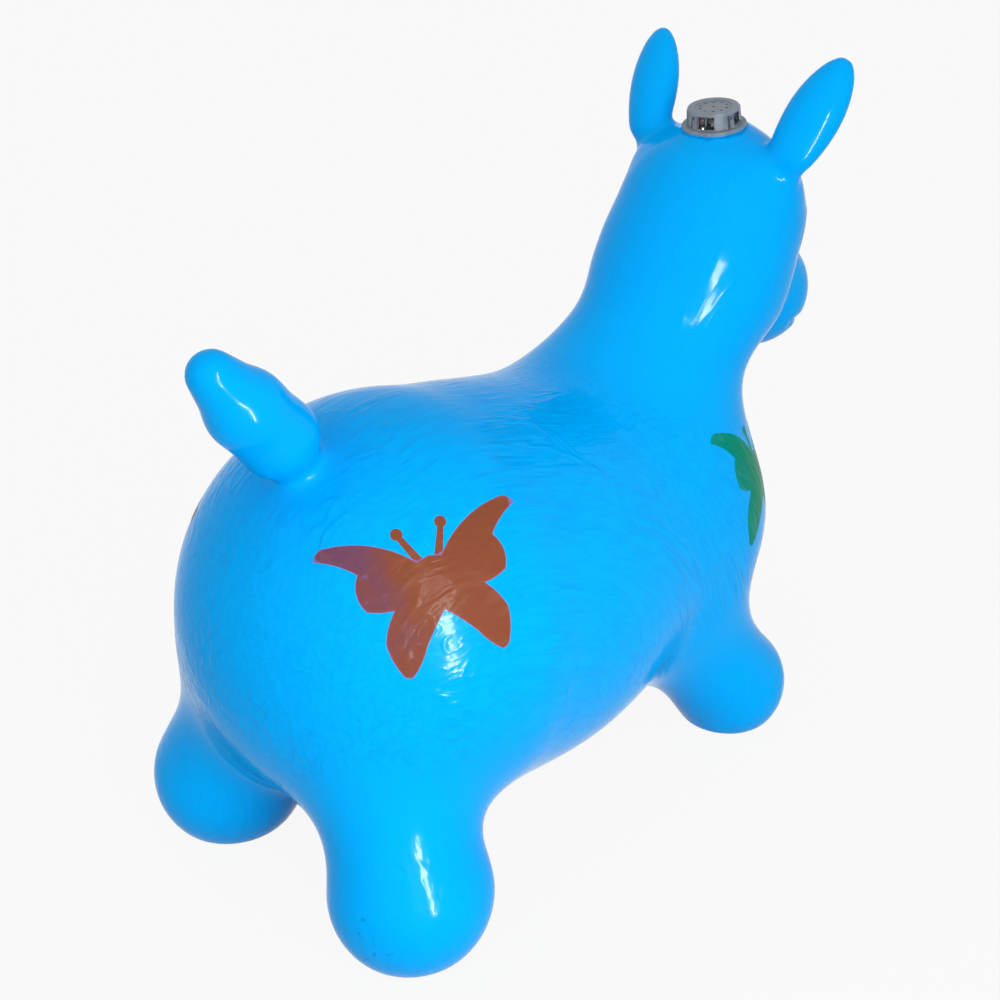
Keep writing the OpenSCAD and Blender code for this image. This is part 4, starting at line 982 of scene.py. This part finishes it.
# The grid starts a broken number of cells outside the box, so that none of its planes lies in the soles.
CELLS_BEFORE, CELLS_AFTER = 2.37, 3
FLANK_FOLD = np.array(
    [(-35.9, 61.8, 301.6), (-78.2, 50.5, 279.2), (-94.5, 39.4, 262.8), (-109.6, 21.5, 239.6)]
) * MM
SCUFFS = np.array([(-101.4, 268.6, 47.6), (-98.7, 266.4, 20.9), (-116.7, 263.8, 32)]) * MM
SCUFF_SPAN = (4 * MM, 16 * MM)
# How much wider the rim is than the eye's white, and the lift of each layer over the one below.
EYE_RIM = 2.4 * MM
EYE_LAYER = 0.6


def off_path(points, path):
    """Distance of each point from a path of straight stretches."""
    found = np.full(len(points), np.inf)
    for start, stop in zip(path[:-1], path[1:]):
        along = stop - start
        t = np.clip(((points - start) @ along) / (along @ along), 0, 1)
        found = np.minimum(found, np.linalg.norm(points - start - t[:, None] * along, axis=1))
    return found


class HOPPER_OT_skin(bpy.types.Operator):
    """One closed net over the whole animal, with holes for the sound module's socket and the air valve"""

    bl_idname = "hopper.skin"
    bl_label = "Skin"

    def execute(self, context):
        animal = Animal(context.scene)
        skin = context.scene.hopper_skin
        low, high = (np.array(v) for v in CAD_BOX)
        cell = skin.cell
        half = np.arange(0, high[0] + CELLS_AFTER * cell, cell)
        axes = [half]
        for a, b in zip(low[1:] - CELLS_BEFORE * cell, high[1:] + CELLS_AFTER * cell):
            axes.append(np.arange(a, b, cell))
        grid = np.stack(np.meshgrid(*axes, indexing="ij"), -1)
        values = animal.distance(grid)
        axes[0] = np.concatenate([-half[:0:-1], half])
        points, quads = net(np.concatenate([values[:0:-1], values]), axes)
        points = relaxed(animal, animal.settled(points), quads)
        head = context.scene.hopper_head
        points, quads, rim = opened(
            animal, points, quads, animal.seat, animal.seat_up, head.socket_radius, HOLE_REACH
        )
        points, quads, floor = pocket(points, quads, rim, animal.seat_up, head.socket_depth)
        out = unit(JOINTS["plug_pull"]["axis"])
        below = np.array([[0, skin.valve_behind, low[2] - HOLE_REACH]])
        belly = animal.thrown(below, -out)[0]
        points, quads, rim = opened(animal, points, quads, belly, out, skin.valve_radius, HOLE_REACH)
        points, quads, end = pocket(points, quads, rim, out, skin.valve_depth)
        material = skin_finish()
        piece = new_piece("skin_moulding", points, [quads, floor, end], material, "animal")
        comb(animal, piece, points)
        set_values(piece, "fold_distance", off_path(points, FLANK_FOLD))
        off = np.linalg.norm(points[:, None] - SCUFFS, axis=-1).min(1)
        set_values(piece, "scuffs", 1 - smooth_step(off, *SCUFF_SPAN))
        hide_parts("skin")
        return {"FINISHED"}


class HOPPER_OT_prints(bpy.types.Operator):
    """A butterfly on each hip and each shoulder"""

    bl_idname = "hopper.prints"
    bl_label = "Prints"

    def execute(self, context):
        animal, prints = Animal(context.scene), context.scene.hopper_prints
        red = print_finish("hip_print", prints.hip_colour, prints.hip_faded, prints.hip_edge)
        green = print_finish(
            "shoulder_print", prints.shoulder_colour, prints.shoulder_faded, prints.shoulder_edge
        )
        outlines = butterfly_outlines()
        ways = ("print", "facing", "up")
        for name, side in SIDES:
            hip = [getattr(prints, f"{name}_hip_{part}") for part in ways]
            printed(animal, f"{name}_hip_print", outlines, *hip, red, prints)
            shoulder = [mirrored(getattr(prints, f"shoulder_{part}"), side) for part in ways]
            printed(animal, f"{name}_shoulder_print", outlines, *shoulder, green, prints)
        return {"FINISHED"}


class HOPPER_OT_eyes(bpy.types.Operator):
    """Printed eyes: a white oval with a dark rim, a black pupil in it and a small glint"""

    bl_idname = "hopper.eyes"
    bl_label = "Eyes"

    def execute(self, context):
        animal, prints = Animal(context.scene), context.scene.hopper_prints
        white = plain_finish("eye_white", tuple(prints.eye_white), roughness=0.25, bump=0.00001)
        black = plain_finish("eye_black", tuple(prints.pupil), roughness=0.2, bump=0.00001)
        wide, tall = prints.eye_width, prints.eye_height
        layers = (
            ("eye_rim", black, oval(wide + EYE_RIM, tall + EYE_RIM), 0.0, 0.0),
            ("eye_white", white, oval(wide, tall), 0.0, 0.0),
            ("pupil", black, oval(0.6 * wide, 0.66 * tall), 0.1 * wide, -0.08 * tall),
            ("glint", white, oval(0.2 * wide, 0.2 * wide), 0.02 * wide, 0.12 * tall),
        )
        for name, side in SIDES:
            middle, facing, up = (mirrored(v, side) for v in (prints.eye, prints.eye_facing, prints.eye_up))
            for number, (layer, material, outline, forward, rise) in enumerate(layers):
                flat = [outline + [-side * forward, rise]]
                lift = 1 + EYE_LAYER * number
                printed(animal, f"{name}_{layer}", flat, middle, facing, up, material, prints, lift)
        return {"FINISHED"}


class HOPPER_OT_module(bpy.types.Operator):
    """Finishes of the sound module, its socket and the air valve"""

    bl_idname = "hopper.module"
    bl_label = "Sound module and valve"

    def execute(self, context):
        finishes = {
            "sky_blue_pvc": dict(colour=tuple(context.scene.hopper_skin.colour), roughness=0.3, specular=0.3),
            "clear_pvc": dict(colour=(0.78, 0.8, 0.8), roughness=0.35),
            "grey_abs": dict(colour=(0.235, 0.275, 0.32), roughness=0.42, specular=0.15),
            "dark_abs": dict(colour=(0.06, 0.065, 0.075), roughness=0.5),
            "cell_steel": dict(colour=(0.72, 0.73, 0.74), roughness=0.36, metallic=1.0),
            "contact_steel": dict(colour=(0.7, 0.71, 0.72), roughness=0.3, metallic=1.0),
            "screw_steel": dict(colour=(0.6, 0.61, 0.63), roughness=0.32, metallic=1.0),
            "board_green": dict(colour=(0.02, 0.16, 0.07), roughness=0.35),
            "black_resin": dict(colour=(0.008, 0.008, 0.01), roughness=0.15),
            "contact_brass": dict(colour=(0.8, 0.6, 0.25), roughness=0.25, metallic=1.0),
            "magnet_steel": dict(colour=(0.58, 0.59, 0.61), roughness=0.35, metallic=1.0),
            "cone_film": dict(colour=(0.05, 0.05, 0.055), roughness=0.3),
            "coil_copper": dict(colour=(0.7, 0.33, 0.17), roughness=0.3, metallic=1.0),
            "wire_red": dict(colour=(0.45, 0.02, 0.02), roughness=0.4),
        }
        made = {slot: plain_finish(slot, **values) for slot, values in finishes.items()}
        for subpart in frame["record"]["subparts"]:
            piece = frame["nodes"][subpart["node"]]
            piece.data.materials.clear()
            piece.data.materials.append(made[subpart["material_slot"]])
        return {"FINISHED"}


def seen_rays(tree):
    """1 for rays from the camera, from a gloss or through glass, and 0 for the rays that light the object."""
    path = add(tree, "LightPath")
    seen = worked(tree, "MAXIMUM", path.outputs["Is Camera Ray"], path.outputs["Is Glossy Ray"])
    return worked(tree, "MAXIMUM", seen, path.outputs["Is Transmission Ray"])


class HOPPER_OT_stage(bpy.types.Operator):
    """Pale floor, soft lamps and the camera"""

    bl_idname = "hopper.stage"
    bl_label = "Stage"

    def execute(self, context):
        stage = context.scene.hopper_stage
        self.set_camera(context.scene, stage)
        self.set_floor(context.scene, stage)
        self.set_lamps(context.scene, stage)
        return {"FINISHED"}

    def set_camera(self, scene, stage):
        """The photograph's camera, aimed at the target and shifted in its frame."""
        camera = bpy.data.objects.new("camera", bpy.data.cameras.new("camera"))
        scene.collection.objects.link(camera)
        a, e = stage.azimuth, stage.elevation
        back = Vector((math.sin(a) * math.cos(e), -math.cos(a) * math.cos(e), math.sin(e)))
        camera.location = Vector(stage.target) + stage.distance * back
        camera.rotation_euler = (-back).to_track_quat("-Z", "Y").to_euler()
        camera.data.lens = stage.focal / 1000 * camera.data.sensor_width
        camera.data.shift_x = -stage.shift_right / 1000
        camera.data.shift_y = stage.shift_down / 1000
        scene.camera = camera
        scene.view_settings.view_transform = "Standard"

    def set_floor(self, scene, stage):
        """A wide floor that is seen almost white and lights the object as a plain grey."""
        reach = 12.0
        corners = np.array([(-1, -1, 0), (1, -1, 0), (1, 1, 0), (-1, 1, 0)]) * reach
        mesh = bpy.data.meshes.new("floor")
        mesh.from_pydata(corners.tolist(), [], [(0, 1, 2, 3)])
        floor = bpy.data.objects.new("floor", mesh)
        scene.collection.objects.link(floor)
        material, tree, shader = finish(
            "pale_floor", Base_Color=rgba(stage.floor), Roughness=0.9, Specular_IOR_Level=0.0
        )
        seen = seen_rays(tree)
        white = add(tree, "Emission", {"Color": (1, 1, 1, 1), "Strength": 1.0})
        blend = add(tree, "MixShader", {0: scaled(tree, seen, stage.floor_white)})
        tree.links.new(shader.outputs[0], blend.inputs[1])
        tree.links.new(white.outputs[0], blend.inputs[2])
        tree.links.new(blend.outputs[0], tree.nodes["Material Output"].inputs["Surface"])
        mesh.materials.append(material)

    def set_lamps(self, scene, stage):
        """A dome that is brighter on one side, a softbox for the colours and a strip for the gloss."""
        world = bpy.data.worlds.new("soft_dome")
        world.use_nodes = True
        tree = world.node_tree
        way = unit(stage.dome_way)
        along = add(tree, "TexCoord").outputs["Generated"]
        facing = add(tree, "VectorMath", {0: along, 1: way}, operation="DOT_PRODUCT").outputs["Value"]
        span = {1: -1.0, 2: 1.0, 3: stage.dome_dim, 4: stage.dome_bright}
        soft = add(tree, "MapRange", {0: facing, **span}).outputs[0]
        seen = seen_rays(tree)
        strength = add(tree, "Mix", {0: seen, 2: soft, 3: 1.0}, data_type="FLOAT").outputs[0]
        tree.nodes["Background"].inputs["Color"].default_value = (1, 1, 1, 1)
        tree.links.new(strength, tree.nodes["Background"].inputs["Strength"])
        scene.world = world
        key = self.softbox(scene, stage, "key", stage.key, stage.key_size, stage.key_size, stage.key_power)
        key.visible_glossy = False
        gloss = self.softbox(
            scene, stage, "gloss", stage.gloss, stage.gloss_width, stage.gloss_height, stage.gloss_power
        )
        gloss.visible_diffuse = False

    def softbox(self, scene, stage, name, where, width, height, power):
        """An oblong lamp that faces the camera's target."""
        lamp = bpy.data.lights.new(name, "AREA")
        lamp.shape = "RECTANGLE"
        lamp.size, lamp.size_y = width, height
        lamp.energy = power
        box = bpy.data.objects.new(name, lamp)
        scene.collection.objects.link(box)
        box.location = where
        box.rotation_euler = (Vector(stage.target) - Vector(where)).to_track_quat("-Z", "Y").to_euler()
        return box


class HOPPER_PT_panel(bpy.types.Panel):
    """Lists the hopper's operators and sizes"""

    bl_idname = "HOPPER_PT_panel"
    bl_label = "Hopper"
    bl_space_type = "VIEW_3D"
    bl_region_type = "UI"
    bl_category = "Hopper"

    def draw(self, context):
        for operator in OPERATORS:
            self.layout.operator(operator.bl_idname)
        for name in GROUPS:
            box = self.layout.box()
            box.label(text=name.removeprefix("hopper_").title())
            group = getattr(context.scene, name)
            for key in group.bl_rna.properties.keys()[2:]:
                box.prop(group, key)


GROUPS = {
    "hopper_trunk": HopperTrunk,
    "hopper_head": HopperHead,
    "hopper_ears": HopperEars,
    "hopper_tail": HopperTail,
    "hopper_skin": HopperSkin,
    "hopper_prints": HopperPrints,
    "hopper_stage": HopperStage,
}
OPERATORS = (HOPPER_OT_stage, HOPPER_OT_skin, HOPPER_OT_prints, HOPPER_OT_eyes, HOPPER_OT_module)


def register():
    for kind in (*GROUPS.values(), *OPERATORS, HOPPER_PT_panel):
        bpy.utils.register_class(kind)
    for name, kind in GROUPS.items():
        setattr(bpy.types.Scene, name, PointerProperty(type=kind))


def unregister():
    for name in GROUPS:
        delattr(bpy.types.Scene, name)
    for kind in (HOPPER_PT_panel, *reversed(OPERATORS), *reversed(list(GROUPS.values()))):
        bpy.utils.unregister_class(kind)


def main():
    """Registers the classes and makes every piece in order."""
    register()
    bpy.ops.hopper.stage()
    bpy.ops.hopper.skin()
    bpy.ops.hopper.prints()
    bpy.ops.hopper.eyes()
    bpy.ops.hopper.module()


if __name__ == "__main__":
    main()
